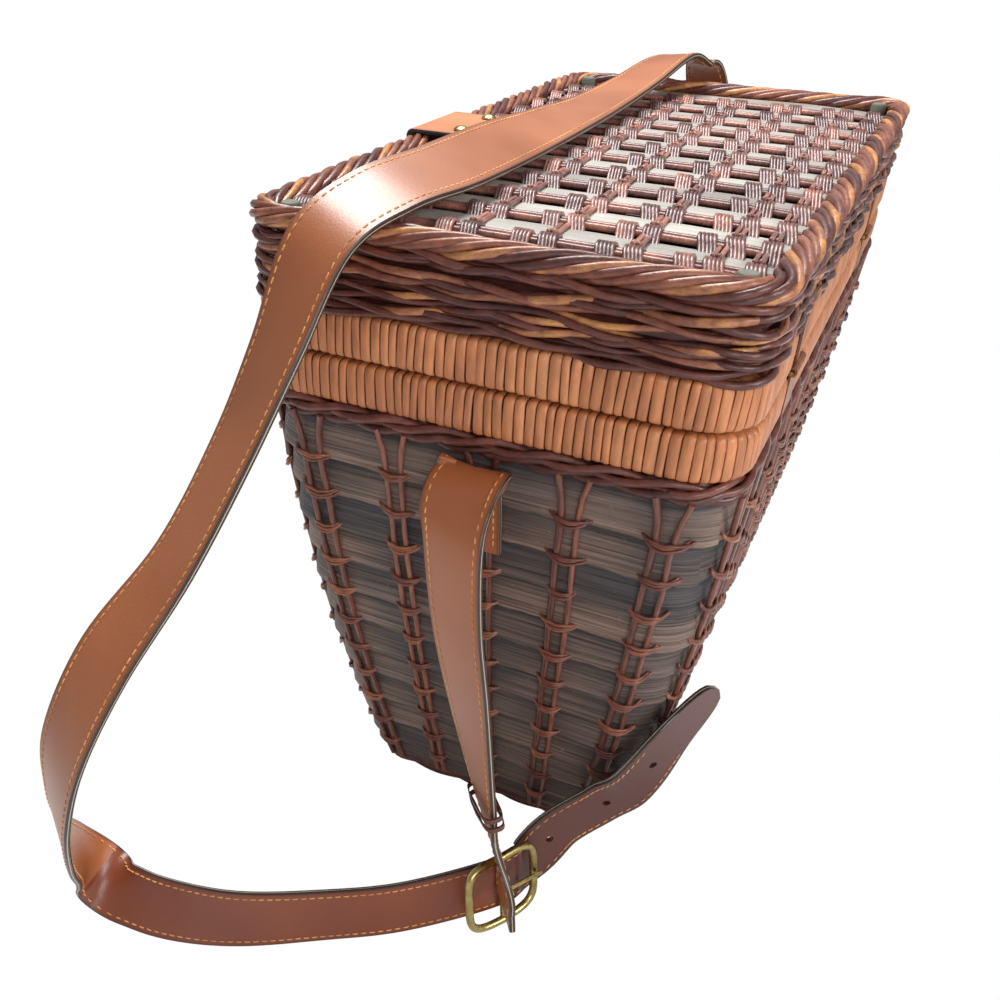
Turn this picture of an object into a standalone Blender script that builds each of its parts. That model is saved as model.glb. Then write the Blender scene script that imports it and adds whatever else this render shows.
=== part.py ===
# Wicker picnic basket with a hinged lid and a leather shoulder strap.
# Metres, +Z up. Origin at the centre of the foot, where the basket rests.
# Long axis along Y: the near end is -Y, the front with the closures is -X, the hinges are at +X.

import math

import bmesh
import bpy
from mathutils import Matrix, Vector

# Clearances
GAP = 0.0003
CUT_OVERRUN = 0.004

# Rims, seen from above
RIM_WIDTH = 0.221
RIM_LENGTH = 0.413
RIM_CORNER = 0.026
RIM_HEIGHT = 0.0200
RIM_THICKNESS = 0.011
RIM_EDGE_ROUND = 0.003
RIM_SLIT = 0.0012
WINDING_THICKNESS = 0.0013

# Foot and floor
FOOT_WIDTH = 0.146
FOOT_LENGTH = 0.304
FOOT_CORNER = 0.020
FOOT_HEIGHT = 0.012
FOOT_THICKNESS = 0.007
FOOT_LEAN = 0.0015
BASE_THICKNESS = 0.005

# Tapered wall of slats
WALL_HEIGHT = 0.2464
WALL_INSET = 0.004
WALL_BULGE = 0.005
SLAT_PITCH = 0.0203
SLAT_THICKNESS = 0.0025
SLAT_LIP = 0.001

# Stakes that hold the slats
STAKE_RADIUS = 0.0015
STAKE_SPACING = 0.0062
STAKE_SIDES = 4
STAKE_STEPS = 5
END_STAKE_SHARES = (-0.76, -0.36, 0.05, 0.43, 0.81)
SIDE_STAKE_COUNT = 12
SIDE_STAKE_SPAN_SHARE = 0.90

# Twined border under the tub's rim
BORDER_HEIGHT = 0.009
BORDER_THICKNESS = 0.006
BORDER_ROUND = 0.002

# Lid
LID_WALL_HEIGHT = 0.028
LID_WALL_INSET = 0.003
LID_WALL_THICKNESS = 0.006
LID_ROD_ROWS = 5
LID_ROD_SWELL = 0.0016
LID_BORDER_HEIGHT = 0.0090
LID_BORDER_THICKNESS = 0.010
LID_BORDER_INSET = 0.0005
LID_PANEL_DROP = 0.0058
LID_PANEL_THICKNESS = 0.0035
LID_ROW_PITCH = 0.0307
LID_ROW_OFFSET = -0.0085
LID_ROD_RADIUS = 0.0015
LID_ROD_SPACING = 0.0038
LID_CHANNEL_WIDTH = 0.0080
LID_CHANNEL_DEPTH = 0.0018

# Hinges at the back
HINGE_REACH = 0.115
HINGE_LENGTH = 0.026
PIN_RADIUS = 0.0009
KNUCKLE_RADIUS = 0.0022
KNUCKLE_BORE = 0.0012
LOOP_WIDTH = 0.0070
LOOP_THICKNESS = 0.0009

# Leather
LEATHER_THICKNESS = 0.003
STRAP_WIDTH = 0.032
STRAP_SUBSTEPS = 2

# Lifting tab on the lid's front edge
TAB_WIDTH = 0.056
TAB_TOP_REACH = 0.050
TAB_OFFSET = -0.020
TAB_DROP = 0.030
TAB_THICKNESS = 0.002
TAB_RIVET_SPACING = 0.036
TAB_RIVET_RADIUS = 0.0040
TAB_RIVET_HEIGHT = 0.0020

# Small buckled closures at the front
CLOSURE_REACH = 0.172
CLOSURE_WIDTH = 0.016
CLOSURE_LEATHER = 0.002
CLOSURE_STRAP_FOOT = 0.208
CLOSURE_FRAME_WIDTH = 0.024
CLOSURE_FRAME_HEIGHT = 0.020
CLOSURE_WIRE = 0.0012
CLOSURE_TILT = 0.0015
CLOSURE_PRONG_RADIUS = 0.0008
CLOSURE_EYE_WIDTH = 0.0030
CLOSURE_EYE_RADIUS = 0.0024
CLOSURE_EYE_BORE = 0.0015
CLOSURE_NOTCH = 0.0050
CLOSURE_RIVET_RADIUS = 0.0030
CLOSURE_RIVET_HEIGHT = 0.0015

# Big buckle
BUCKLE_LENGTH = 0.046
BUCKLE_HEIGHT = 0.042
BUCKLE_WIRE = 0.0020
BUCKLE_BAR = 0.0014
BUCKLE_HEADING = 1.064
BUCKLE_LEAN = 0.16
BUCKLE_EYE_WIDTH = 0.0045
BUCKLE_EYE_RADIUS = 0.0028
BUCKLE_EYE_BORE = 0.0018
PRONG_RADIUS = 0.0012
KEEPER_LENGTH = 0.008
KEEPER_WALL = 0.0015

# Strap rivets on the end walls
END_RIVET_RADIUS = 0.0045
END_RIVET_HEIGHT = 0.0022
END_RIVET_SHARES = (0.25, 0.72)
TAIL_LENGTH = 0.034
TAIL_TOP_LENGTH = 0.010
TAIL_DROP = 0.012
FOLD_REACH = 0.009

# Domed rivet heads
RIVET_WAIST_SHARE = 0.9
RIVET_TOP_SHARE = 0.5

# Facets
CORNER_STEPS = 3
ROUND_SIDES = 10
BUCKLE_SIDES = 8
SHARP_ANGLE = math.radians(35)

# Heights that follow from the sizes
BORDER_BOTTOM = WALL_HEIGHT + GAP
RIM_BOTTOM = BORDER_BOTTOM + BORDER_HEIGHT + GAP
RIM_TOP = RIM_BOTTOM + RIM_HEIGHT
HINGE_Z = RIM_TOP + RIM_SLIT / 2
LID_RIM_BOTTOM = RIM_TOP + RIM_SLIT
LID_RIM_TOP = LID_RIM_BOTTOM + RIM_HEIGHT
LID_WALL_BOTTOM = LID_RIM_TOP + GAP
LID_WALL_TOP = LID_WALL_BOTTOM + LID_WALL_HEIGHT
LID_BORDER_BOTTOM = LID_WALL_TOP + GAP
LID_TOP = LID_BORDER_BOTTOM + LID_BORDER_HEIGHT
HALF_WIDTH = RIM_WIDTH / 2
HALF_LENGTH = RIM_LENGTH / 2
STAKE_DEPTH = SLAT_LIP + GAP + 2 * STAKE_RADIUS
ANCHOR_Z = BORDER_BOTTOM - TAIL_DROP
LID_PANEL_TOP = LID_TOP - LID_PANEL_DROP
LID_ROD_Z = LID_PANEL_TOP - LID_CHANNEL_DEPTH + GAP + LID_ROD_RADIUS
FRONT_FACE = HALF_WIDTH + GAP

# Buckle place, as shares of the half width and half length, measured from the centre
BUCKLE_PLACE_SHARES = (0.39, -1.13)

# Routes of the straps, chosen by hand. Each station is x and y as shares of the half width and half
# length, a level with a rise, and the strap's width direction.
# Level "top" counts up from the lid's top, "floor" from where the lower edge lies on the floor, and
# "free" from the floor to the strap's centre. Each rise is a share of the whole height.
SHOULDER_OVER_LID_SHARES = (
    (-0.13, 1.06, "free", 0.93, (-0.95, 0.20, 0.05)),
    (-0.21, 1.05, "free", 1.02, (-0.92, 0.38, 0.10)),
    (-0.28, 1.00, "free", 1.035, (-0.95, 0.30, 0.00)),
    (-0.34, 0.88, "free", 1.045, (-0.97, 0.18, -0.15)),
    (-0.40, 0.62, "top", 0.015, (-1.00, 0.10, -0.05)),
    (-0.42, 0.30, "top", 0.005, (-1.00, 0.00, 0.05)),
    (-0.41, -0.05, "top", 0.002, (-0.97, 0.00, 0.22)),
    (-0.40, -0.40, "top", 0.002, (-0.93, 0.00, 0.36)),
    (-0.40, -0.70, "top", 0.006, (-0.94, 0.06, 0.34)),
    (-0.45, -0.93, "top", 0.008, (-0.95, 0.12, 0.26)),
)
SHOULDER_FALLING_SHARES = (
    (-0.53, -1.09, "free", 0.99, (-0.97, 0.20, 0.12)),
    (-0.60, -1.20, "free", 0.88, (-0.91, 0.41, 0.02)),
    (-0.69, -1.30, "free", 0.77, (-0.87, 0.49, -0.02)),
    (-0.81, -1.43, "free", 0.65, (-0.88, 0.48, 0.00)),
    (-0.97, -1.58, "free", 0.54, (-0.93, 0.32, 0.18)),
    (-1.10, -1.67, "free", 0.42, (-0.92, 0.36, 0.17)),
    (-1.18, -1.69, "free", 0.31, (-0.83, 0.53, 0.21)),
    (-1.26, -1.66, "free", 0.21, (-0.70, 0.60, 0.39)),
    (-1.35, -1.59, "free", 0.12, (-0.50, 0.76, 0.36)),
    (-1.33, -1.56, "free", 0.07, (-0.10, 0.85, 0.40)),
    (-1.20, -1.56, "floor", 0.0, (0.15, 0.62, 0.77)),
    (-0.92, -1.55, "floor", 0.0, (-0.15, 0.45, 0.88)),
    (-0.62, -1.50, "floor", 0.0, (-0.13, 0.25, 0.96)),
    (-0.30, -1.40, "floor", 0.0, (-0.10, 0.13, 0.99)),
    (0.02, -1.28, "floor", 0.0, (-0.10, 0.10, 0.99)),
)
# The tip that comes out of the buckle and stands up past the near right corner
SHOULDER_TIP_SHARES = (
    (0.53, -0.96, "free", 0.12, (-0.24, -0.20, 0.94)),
    (0.69, -0.90, "free", 0.17, (-0.27, -0.30, 0.90)),
    (0.81, -0.88, "free", 0.22, (-0.36, -0.45, 0.81)),
    (0.92, -0.84, "free", 0.31, (-0.34, -0.58, 0.74)),
    (1.04, -0.75, "free", 0.38, (-0.30, -0.50, 0.81)),
)
SHOULDER_ROUND_SHARES = (0.35, 0.80, 0.97)

# The buckle strap folds forward at the near end wall and hangs to the buckle
BUCKLE_STRAP_SHARES = (
    (0.06, -1.14, "free", 0.67, (-0.96, 0.28, 0.00)),
    (0.09, -1.14, "free", 0.55, (-0.92, 0.38, 0.00)),
    (0.15, -1.14, "free", 0.44, (-0.88, 0.46, 0.00)),
    (0.25, -1.14, "free", 0.28, (-0.72, 0.68, 0.00)),
    (0.32, -1.15, "free", 0.20, (-0.60, 0.80, 0.00)),
)


def clear_scene():
    for old in list(bpy.data.objects):
        bpy.data.objects.remove(old, do_unlink=True)


def material(name, colour, roughness, metallic=0.0):
    mat = bpy.data.materials.new(name)
    mat.use_nodes = True
    shader = mat.node_tree.nodes["Principled BSDF"]
    shader.inputs["Base Color"].default_value = (*colour, 1.0)
    shader.inputs["Roughness"].default_value = roughness
    shader.inputs["Metallic"].default_value = metallic
    return mat


def willow(name):
    return material(name, (0.16, 0.055, 0.045), 0.45)


def slat_wood(name):
    return material(name, (0.20, 0.155, 0.115), 0.75)


def cane(name):
    return material(name, (0.50, 0.25, 0.11), 0.50)


def leather(name):
    return material(name, (0.36, 0.13, 0.045), 0.40)


def brass(name):
    return material(name, (0.50, 0.42, 0.20), 0.35, 1.0)


def finish(name, bm, mat, smooth=True):
    """Turns the faces outward and puts the mesh into the scene as one named object."""
    bmesh.ops.recalc_face_normals(bm, faces=bm.faces)
    mesh = bpy.data.meshes.new(name)
    bm.to_mesh(mesh)
    bm.free()
    mesh.materials.append(mat(name))
    if smooth:
        mesh.shade_smooth()
        mesh.set_sharp_from_angle(angle=SHARP_ANGLE)
    obj = bpy.data.objects.new(name, mesh)
    bpy.context.scene.collection.objects.link(obj)
    return obj


def cutter(name, bm):
    bmesh.ops.recalc_face_normals(bm, faces=bm.faces)
    mesh = bpy.data.meshes.new(name)
    bm.to_mesh(mesh)
    bm.free()
    obj = bpy.data.objects.new(name, mesh)
    obj.hide_render = True
    obj.display_type = "WIRE"
    bpy.context.scene.collection.objects.link(obj)
    return obj


def boolean(obj, other, operation):
    modifier = obj.modifiers.new(operation.lower(), "BOOLEAN")
    modifier.operation = operation
    modifier.solver = "EXACT"
    modifier.object = other


def rounded_rectangle(half_x, half_y, radius):
    """Corner points of a rounded rectangle, anticlockwise from the middle of the +X side."""
    radius = min(radius, half_x, half_y)
    points = []
    corners = ((1, -1, -90), (1, 1, 0), (-1, 1, 90), (-1, -1, 180))
    for sign_x, sign_y, start in corners:
        centre_x = sign_x * (half_x - radius)
        centre_y = sign_y * (half_y - radius)
        for step in range(CORNER_STEPS + 1):
            angle = math.radians(start + 90 * step / CORNER_STEPS)
            points.append((centre_x + radius * math.cos(angle), centre_y + radius * math.sin(angle)))
    return points


def loop_faces(bm, first, second):
    count = len(first)
    for i in range(count):
        j = (i + 1) % count
        bm.faces.new((first[i], first[j], second[j], second[i]))


def ring(bm, profile):
    """One closed ring. Each profile entry is half_x, half_y, corner radius and height."""
    loops = []
    for half_x, half_y, radius, z in profile:
        loops.append([bm.verts.new((x, y, z)) for x, y in rounded_rectangle(half_x, half_y, radius)])
    for i, loop in enumerate(loops):
        loop_faces(bm, loop, loops[(i + 1) % len(loops)])


def plate(bm, half_x, half_y, radius, low, high):
    """A flat plate with rounded corners."""
    outline = rounded_rectangle(half_x, half_y, radius)
    bottom = [bm.verts.new((x, y, low)) for x, y in outline]
    top = [bm.verts.new((x, y, high)) for x, y in outline]
    loop_faces(bm, bottom, top)
    bm.faces.new(list(reversed(bottom)))
    bm.faces.new(top)


def block(bm, low, high):
    """A box between two corners."""
    corner = [Vector((x, y, z)) for z in (low[2], high[2]) for x, y in
              ((low[0], low[1]), (high[0], low[1]), (high[0], high[1]), (low[0], high[1]))]
    v = [bm.verts.new(c) for c in corner]
    for face in ((3, 2, 1, 0), (4, 5, 6, 7), (0, 1, 5, 4), (1, 2, 6, 5), (2, 3, 7, 6), (3, 0, 4, 7)):
        bm.faces.new([v[i] for i in face])


def sweep(bm, centres, radii, sides, closed=False):
    """A round tube through the centres, one radius for each."""
    count = len(centres)
    loops = []
    reference = None
    for i, centre in enumerate(centres):
        before = centres[(i - 1) % count] if (closed or i) else centre
        after = centres[(i + 1) % count] if (closed or i + 1 < count) else centre
        along = (after - before).normalized()
        if reference is None:
            reference = along.orthogonal().normalized()
        side = (reference - along * reference.dot(along)).normalized()
        reference = side
        up = along.cross(side)
        loop = []
        for k in range(sides):
            angle = 2 * math.pi * k / sides
            loop.append(bm.verts.new(centre + (side * math.cos(angle) + up * math.sin(angle)) * radii[i]))
        loops.append(loop)
    for i in range(count - 1):
        loop_faces(bm, loops[i], loops[i + 1])
    if closed:
        loop_faces(bm, loops[-1], loops[0])
    else:
        bm.faces.new(list(reversed(loops[0])))
        bm.faces.new(loops[-1])


def tube(bm, start, end, radius, sides=ROUND_SIDES):
    sweep(bm, [Vector(start), Vector(end)], [radius, radius], sides)


def ring_tube(bm, start, end, outer, bore, sides=ROUND_SIDES):
    """A hollow sleeve between two points."""
    start = Vector(start)
    end = Vector(end)
    along = (end - start).normalized()
    side = along.orthogonal().normalized()
    up = along.cross(side)
    loops = []
    for centre, radius in ((start, outer), (end, outer), (end, bore), (start, bore)):
        loop = []
        for k in range(sides):
            angle = 2 * math.pi * k / sides
            loop.append(bm.verts.new(centre + (side * math.cos(angle) + up * math.sin(angle)) * radius))
        loops.append(loop)
    for i in range(len(loops)):
        loop_faces(bm, loops[i], loops[(i + 1) % len(loops)])


def extrude_outline(bm, outline, place, depth):
    """A flat outline of 2D points, carried by place to 3D and given a depth along its normal."""
    first = [bm.verts.new(place @ Vector((x, y, 0))) for x, y in outline]
    second = [bm.verts.new(place @ Vector((x, y, depth))) for x, y in outline]
    loop_faces(bm, first, second)
    bm.faces.new(list(reversed(first)))
    bm.faces.new(second)


def smooth_route(stations):
    """Points on a smooth curve through the stations, each a centre and a width direction."""
    result = []
    last = len(stations) - 1
    for i in range(last):
        picked = [stations[max(i - 1, 0)], stations[i], stations[i + 1], stations[min(i + 2, last)]]
        for step in range(STRAP_SUBSTEPS):
            t = step / STRAP_SUBSTEPS
            weights = (-0.5 * t + t * t - 0.5 * t ** 3, 1 - 2.5 * t * t + 1.5 * t ** 3,
                       0.5 * t + 2 * t * t - 1.5 * t ** 3, -0.5 * t * t + 0.5 * t ** 3)
            centre = sum((w * s[0] for w, s in zip(weights, picked)), Vector())
            across = sum((w * s[1] for w, s in zip(weights, picked)), Vector()).normalized()
            result.append((centre, across))
    result.append(stations[last])
    return result


def ribbon(bm, stations, width, thickness, width_shares=None):
    """A flat strap through the stations, lifted where its lower edge would go under the floor."""
    count = len(stations)
    loops = []
    for i, (centre, across) in enumerate(stations):
        along = (stations[min(i + 1, count - 1)][0] - stations[max(i - 1, 0)][0]).normalized()
        across = (across - along * across.dot(along)).normalized()
        normal = along.cross(across)
        share = 1.0 if width_shares is None else width_shares[i]
        half = across * (width * share / 2)
        thick = normal * (thickness / 2)
        corners = (centre + half + thick, centre - half + thick, centre - half - thick, centre + half - thick)
        lift = Vector((0, 0, max(GAP - min(c.z for c in corners), 0)))
        loops.append([bm.verts.new(c + lift) for c in corners])
    for i in range(count - 1):
        loop_faces(bm, loops[i], loops[i + 1])
    bm.faces.new(list(reversed(loops[0])))
    bm.faces.new(loops[-1])


def wall_half(z):
    """Half width, half length and corner radius of the wall's outer face at a height."""
    t = z / WALL_HEIGHT
    bulge = WALL_BULGE * 4 * t * (1 - t)
    half_x = FOOT_WIDTH / 2 + (HALF_WIDTH - WALL_INSET - FOOT_WIDTH / 2) * t + bulge
    half_y = FOOT_LENGTH / 2 + (HALF_LENGTH - WALL_INSET - FOOT_LENGTH / 2) * t + bulge
    return half_x, half_y, FOOT_CORNER + (RIM_CORNER - FOOT_CORNER) * t


def shrink(sizes, depth):
    return sizes[0] - depth, sizes[1] - depth, max(sizes[2] - depth, depth / 2)


def make_foot():
    bm = bmesh.new()
    low = (FOOT_WIDTH / 2 - FOOT_LEAN, FOOT_LENGTH / 2 - FOOT_LEAN, FOOT_CORNER)
    high = wall_half(FOOT_HEIGHT)
    ring(bm, [(*low, 0), (*high, FOOT_HEIGHT / 2), (*high, FOOT_HEIGHT),
              (*shrink(high, FOOT_THICKNESS), FOOT_HEIGHT), (*shrink(low, FOOT_THICKNESS), 0)])
    finish("foot_border", bm, willow)
    bm = bmesh.new()
    plate(bm, *shrink(low, FOOT_THICKNESS + GAP), 0, BASE_THICKNESS)
    finish("base_panel", bm, slat_wood)


def slat_levels():
    """Lower and upper edge of each slat band, from the top down."""
    levels = []
    high = WALL_HEIGHT
    while high > FOOT_HEIGHT + SLAT_PITCH / 4:
        low = max(high - SLAT_PITCH, FOOT_HEIGHT)
        levels.append((low + GAP, high))
        high = low
    return levels


def make_slats():
    for number, (low, high) in enumerate(slat_levels(), start=1):
        outer_low = wall_half(low)
        outer_high = wall_half(high)
        lip = shrink(outer_low, -SLAT_LIP)
        bm = bmesh.new()
        ring(bm, [(*lip, low), (*outer_high, high),
                  (*shrink(outer_high, SLAT_THICKNESS), high), (*shrink(outer_low, SLAT_THICKNESS), low)])
        finish(f"wall_slat_{number:02d}", bm, slat_wood)


def stake_pair(bm, share, side):
    """Two rods that follow the wall. Side is a sign and the axis that the wall faces."""
    sign, axis = side
    low = FOOT_HEIGHT + GAP
    for shift in (-STAKE_SPACING / 2, STAKE_SPACING / 2):
        centres = []
        for step in range(STAKE_STEPS):
            z = low + (WALL_HEIGHT - low) * step / (STAKE_STEPS - 1)
            half_x, half_y, _ = wall_half(z)
            out = STAKE_DEPTH - STAKE_RADIUS
            if axis == "y":
                centres.append(Vector((share * half_x + shift, sign * (half_y + out), z)))
            else:
                centres.append(Vector((sign * (half_x + out), share * half_y + shift, z)))
        sweep(bm, centres, [STAKE_RADIUS] * STAKE_STEPS, STAKE_SIDES)


def make_stake_set(name, shares, side):
    """The stakes of one wall, held together by the rod that is woven through them at the foot."""
    sign, axis = side
    z = FOOT_HEIGHT + GAP + 2 * STAKE_RADIUS
    half_x, half_y, _ = wall_half(z)
    out = STAKE_DEPTH - STAKE_RADIUS
    reach = STAKE_SPACING / 2 + 2 * STAKE_RADIUS
    bm = bmesh.new()
    if axis == "y":
        y = sign * (half_y + out)
        tube(bm, (shares[0] * half_x - reach, y, z), (shares[-1] * half_x + reach, y, z),
             STAKE_RADIUS, STAKE_SIDES)
    else:
        x = sign * (half_x + out)
        tube(bm, (x, shares[0] * half_y - reach, z), (x, shares[-1] * half_y + reach, z),
             STAKE_RADIUS, STAKE_SIDES)
    weaver = finish(name, bm, willow)
    rods = bmesh.new()
    for share in shares:
        stake_pair(rods, share, side)
    boolean(weaver, cutter(f"{name}_rods", rods), "UNION")


def make_stakes():
    make_stake_set("stakes_near_end", END_STAKE_SHARES, (-1, "y"))
    make_stake_set("stakes_far_end", END_STAKE_SHARES, (1, "y"))
    steps = SIDE_STAKE_COUNT - 1
    shares = [SIDE_STAKE_SPAN_SHARE * (2 * number / steps - 1) for number in range(SIDE_STAKE_COUNT)]
    make_stake_set("stakes_front", shares, (-1, "x"))
    make_stake_set("stakes_back", shares, (1, "x"))


def make_border():
    outer = (HALF_WIDTH, HALF_LENGTH, RIM_CORNER)
    middle = shrink(outer, BORDER_ROUND / 2)
    inner = shrink(outer, BORDER_ROUND / 2 + BORDER_THICKNESS)
    edge = shrink(outer, BORDER_ROUND)
    low = BORDER_BOTTOM
    high = BORDER_BOTTOM + BORDER_HEIGHT
    bm = bmesh.new()
    ring(bm, [(*edge, low), (*middle, low + BORDER_ROUND), (*middle, high - BORDER_ROUND), (*edge, high),
              (*inner, high), (*inner, low)])
    finish("under_rim_border", bm, willow)


def rim_section(depth, low, high, rounding):
    """Outline of a rim hoop as outward offsets and heights, starting outside at the bottom."""
    out = -depth
    inside = -RIM_THICKNESS + depth
    return ((out, low + rounding), (out, high - rounding), (out - rounding, high), (inside + rounding, high),
            (inside, high - rounding), (inside, low + rounding), (inside + rounding, low),
            (out - rounding, low))


def make_hoop(name, bottom):
    """The bent wood hoop inside a rim."""
    depth = WINDING_THICKNESS + GAP
    section = rim_section(depth, bottom + depth, bottom + RIM_HEIGHT - depth, RIM_EDGE_ROUND / 2)
    bm = bmesh.new()
    ring(bm, [(HALF_WIDTH + out, HALF_LENGTH + out, RIM_CORNER + out, z) for out, z in section])
    finish(name, bm, slat_wood)


def winding_stations():
    """Points and outward directions of the rim's outline, as one run for each stretch between hinges."""
    outline = rounded_rectangle(HALF_WIDTH, HALF_LENGTH, RIM_CORNER)
    inner = rounded_rectangle(HALF_WIDTH - RIM_THICKNESS, HALF_LENGTH - RIM_THICKNESS,
                              RIM_CORNER - RIM_THICKNESS)
    run = []
    for (x, y), (inner_x, inner_y) in zip(outline, inner):
        run.append(((x, y), ((x - inner_x) / RIM_THICKNESS, (y - inner_y) / RIM_THICKNESS)))
    # The outline starts at the near end of the +X side, so the long run goes the other way round
    stop = HINGE_REACH + HINGE_LENGTH / 2
    start = HINGE_REACH - HINGE_LENGTH / 2
    outward = (1.0, 0.0)
    half = CORNER_STEPS + 1
    long_run = [((HALF_WIDTH, stop), outward)] + run[half:] + run[:half] + [((HALF_WIDTH, -stop), outward)]
    short_run = [((HALF_WIDTH, -start), outward), ((HALF_WIDTH, start), outward)]
    return long_run, short_run


def make_winding(name, bottom):
    """Flat cane wound round a rim, a sleeve that stops at the hinges."""
    outer = rim_section(0, bottom, bottom + RIM_HEIGHT, RIM_EDGE_ROUND)
    inner = rim_section(WINDING_THICKNESS, bottom + WINDING_THICKNESS,
                        bottom + RIM_HEIGHT - WINDING_THICKNESS, RIM_EDGE_ROUND / 2)
    for part, run in zip(("", "_back"), winding_stations()):
        bm = bmesh.new()
        outer_loops = []
        inner_loops = []
        for (x, y), (out_x, out_y) in run:
            outer_loops.append([bm.verts.new((x + out_x * o, y + out_y * o, z)) for o, z in outer])
            inner_loops.append([bm.verts.new((x + out_x * o, y + out_y * o, z)) for o, z in inner])
        for i in range(len(run) - 1):
            loop_faces(bm, outer_loops[i], outer_loops[i + 1])
            loop_faces(bm, inner_loops[i + 1], inner_loops[i])
        loop_faces(bm, inner_loops[0], outer_loops[0])
        loop_faces(bm, outer_loops[-1], inner_loops[-1])
        finish(name + part, bm, cane)


def make_lid_wall():
    """The lid's side wall of willow rods: one swell for each row of rods."""
    outer = (HALF_WIDTH - LID_WALL_INSET, HALF_LENGTH - LID_WALL_INSET, RIM_CORNER)
    profile = []
    pitch = LID_WALL_HEIGHT / LID_ROD_ROWS
    for row in range(LID_ROD_ROWS):
        low = LID_WALL_BOTTOM + row * pitch
        profile.append((*shrink(outer, LID_ROD_SWELL), low))
        profile.append((*outer, low + pitch / 4))
        profile.append((*outer, low + 3 * pitch / 4))
    profile.append((*shrink(outer, LID_ROD_SWELL), LID_WALL_TOP))
    inner = shrink(outer, LID_WALL_THICKNESS)
    profile.append((*inner, LID_WALL_TOP))
    profile.append((*inner, LID_WALL_BOTTOM))
    bm = bmesh.new()
    ring(bm, profile)
    finish("lid_wall", bm, willow)


def border_inner():
    outer = (HALF_WIDTH - LID_BORDER_INSET, HALF_LENGTH - LID_BORDER_INSET, RIM_CORNER)
    return outer, shrink(outer, LID_BORDER_THICKNESS)


def make_lid_border():
    outer, inner = border_inner()
    bevel = LID_BORDER_HEIGHT / 3
    low = LID_BORDER_BOTTOM
    high = LID_TOP
    bm = bmesh.new()
    ring(bm, [(*shrink(outer, bevel / 2), low), (*outer, low + bevel), (*outer, high - bevel),
              (*shrink(outer, bevel), high), (*shrink(inner, -bevel), high), (*inner, high - bevel),
              (*inner, low)])
    finish("lid_border", bm, willow)


def lid_rows():
    """Y of each rod row on the lid, between the border's rounded corners."""
    _, inner = border_inner()
    span = inner[1] - inner[2] - LID_CHANNEL_WIDTH
    count = 1 + 2 * int(span / LID_ROW_PITCH + 0.5)
    rows = [LID_ROW_OFFSET + (i - (count - 1) / 2 + 0.5) * LID_ROW_PITCH for i in range(count)]
    return [y for y in rows if abs(y) < span]


def make_lid_top():
    """A slatted panel with a channel at each row, and rods in pairs that lie in the channels."""
    _, inner = border_inner()
    panel = shrink(inner, 2 * LID_ROD_RADIUS + 3 * GAP)
    bm = bmesh.new()
    plate(bm, *panel, LID_PANEL_TOP - LID_PANEL_THICKNESS, LID_PANEL_TOP)
    slats = finish("lid_slat_panel", bm, slat_wood, smooth=False)
    channels = bmesh.new()
    half = LID_CHANNEL_WIDTH / 2
    for y in lid_rows():
        block(channels, (-HALF_WIDTH, y - half, LID_PANEL_TOP - LID_CHANNEL_DEPTH),
              (HALF_WIDTH, y + half, LID_PANEL_TOP + CUT_OVERRUN))
    boolean(slats, cutter("lid_channels", channels), "DIFFERENCE")

    # The rods end at a rod that goes round inside the border
    edge = shrink(inner, LID_ROD_RADIUS + GAP)
    bm = bmesh.new()
    centres = [Vector((x, y, LID_ROD_Z)) for x, y in rounded_rectangle(*edge)]
    sweep(bm, centres, [LID_ROD_RADIUS] * len(centres), STAKE_SIDES, closed=True)
    frame = finish("lid_rods", bm, willow)
    rods = bmesh.new()
    for y in lid_rows():
        for shift in (-LID_ROD_SPACING / 2, LID_ROD_SPACING / 2):
            tube(rods, (-edge[0], y + shift, LID_ROD_Z), (edge[0], y + shift, LID_ROD_Z),
                 LID_ROD_RADIUS, STAKE_SIDES)
    boolean(frame, cutter("lid_rods_across", rods), "UNION")


def make_hinge(tag, sign):
    """Pin, tub loop with two knuckles and lid loop with one, at one end of the back."""
    middle = sign * HINGE_REACH
    half = HINGE_LENGTH / 2 - GAP
    bm = bmesh.new()
    tube(bm, (HALF_WIDTH, middle - half, HINGE_Z), (HALF_WIDTH, middle + half, HINGE_Z), PIN_RADIUS)
    finish(f"hinge_pin_{tag}", bm, brass)

    # Each band goes round a bare hoop. The tub's has a knuckle at either end, the lid's one between them
    lid_half = LOOP_WIDTH / 2
    inside = lid_half + GAP
    outside = inside + LOOP_WIDTH
    hinge_loop(f"lid_hinge_loop_{tag}", (middle - lid_half, middle + lid_half),
               [(middle - lid_half, middle + lid_half)], [], LID_RIM_BOTTOM)
    hinge_loop(f"tub_hinge_loop_{tag}", (middle - outside, middle + outside),
               [(middle - outside, middle - inside), (middle + inside, middle + outside)],
               [(middle - inside, middle + inside)], RIM_BOTTOM)


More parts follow.
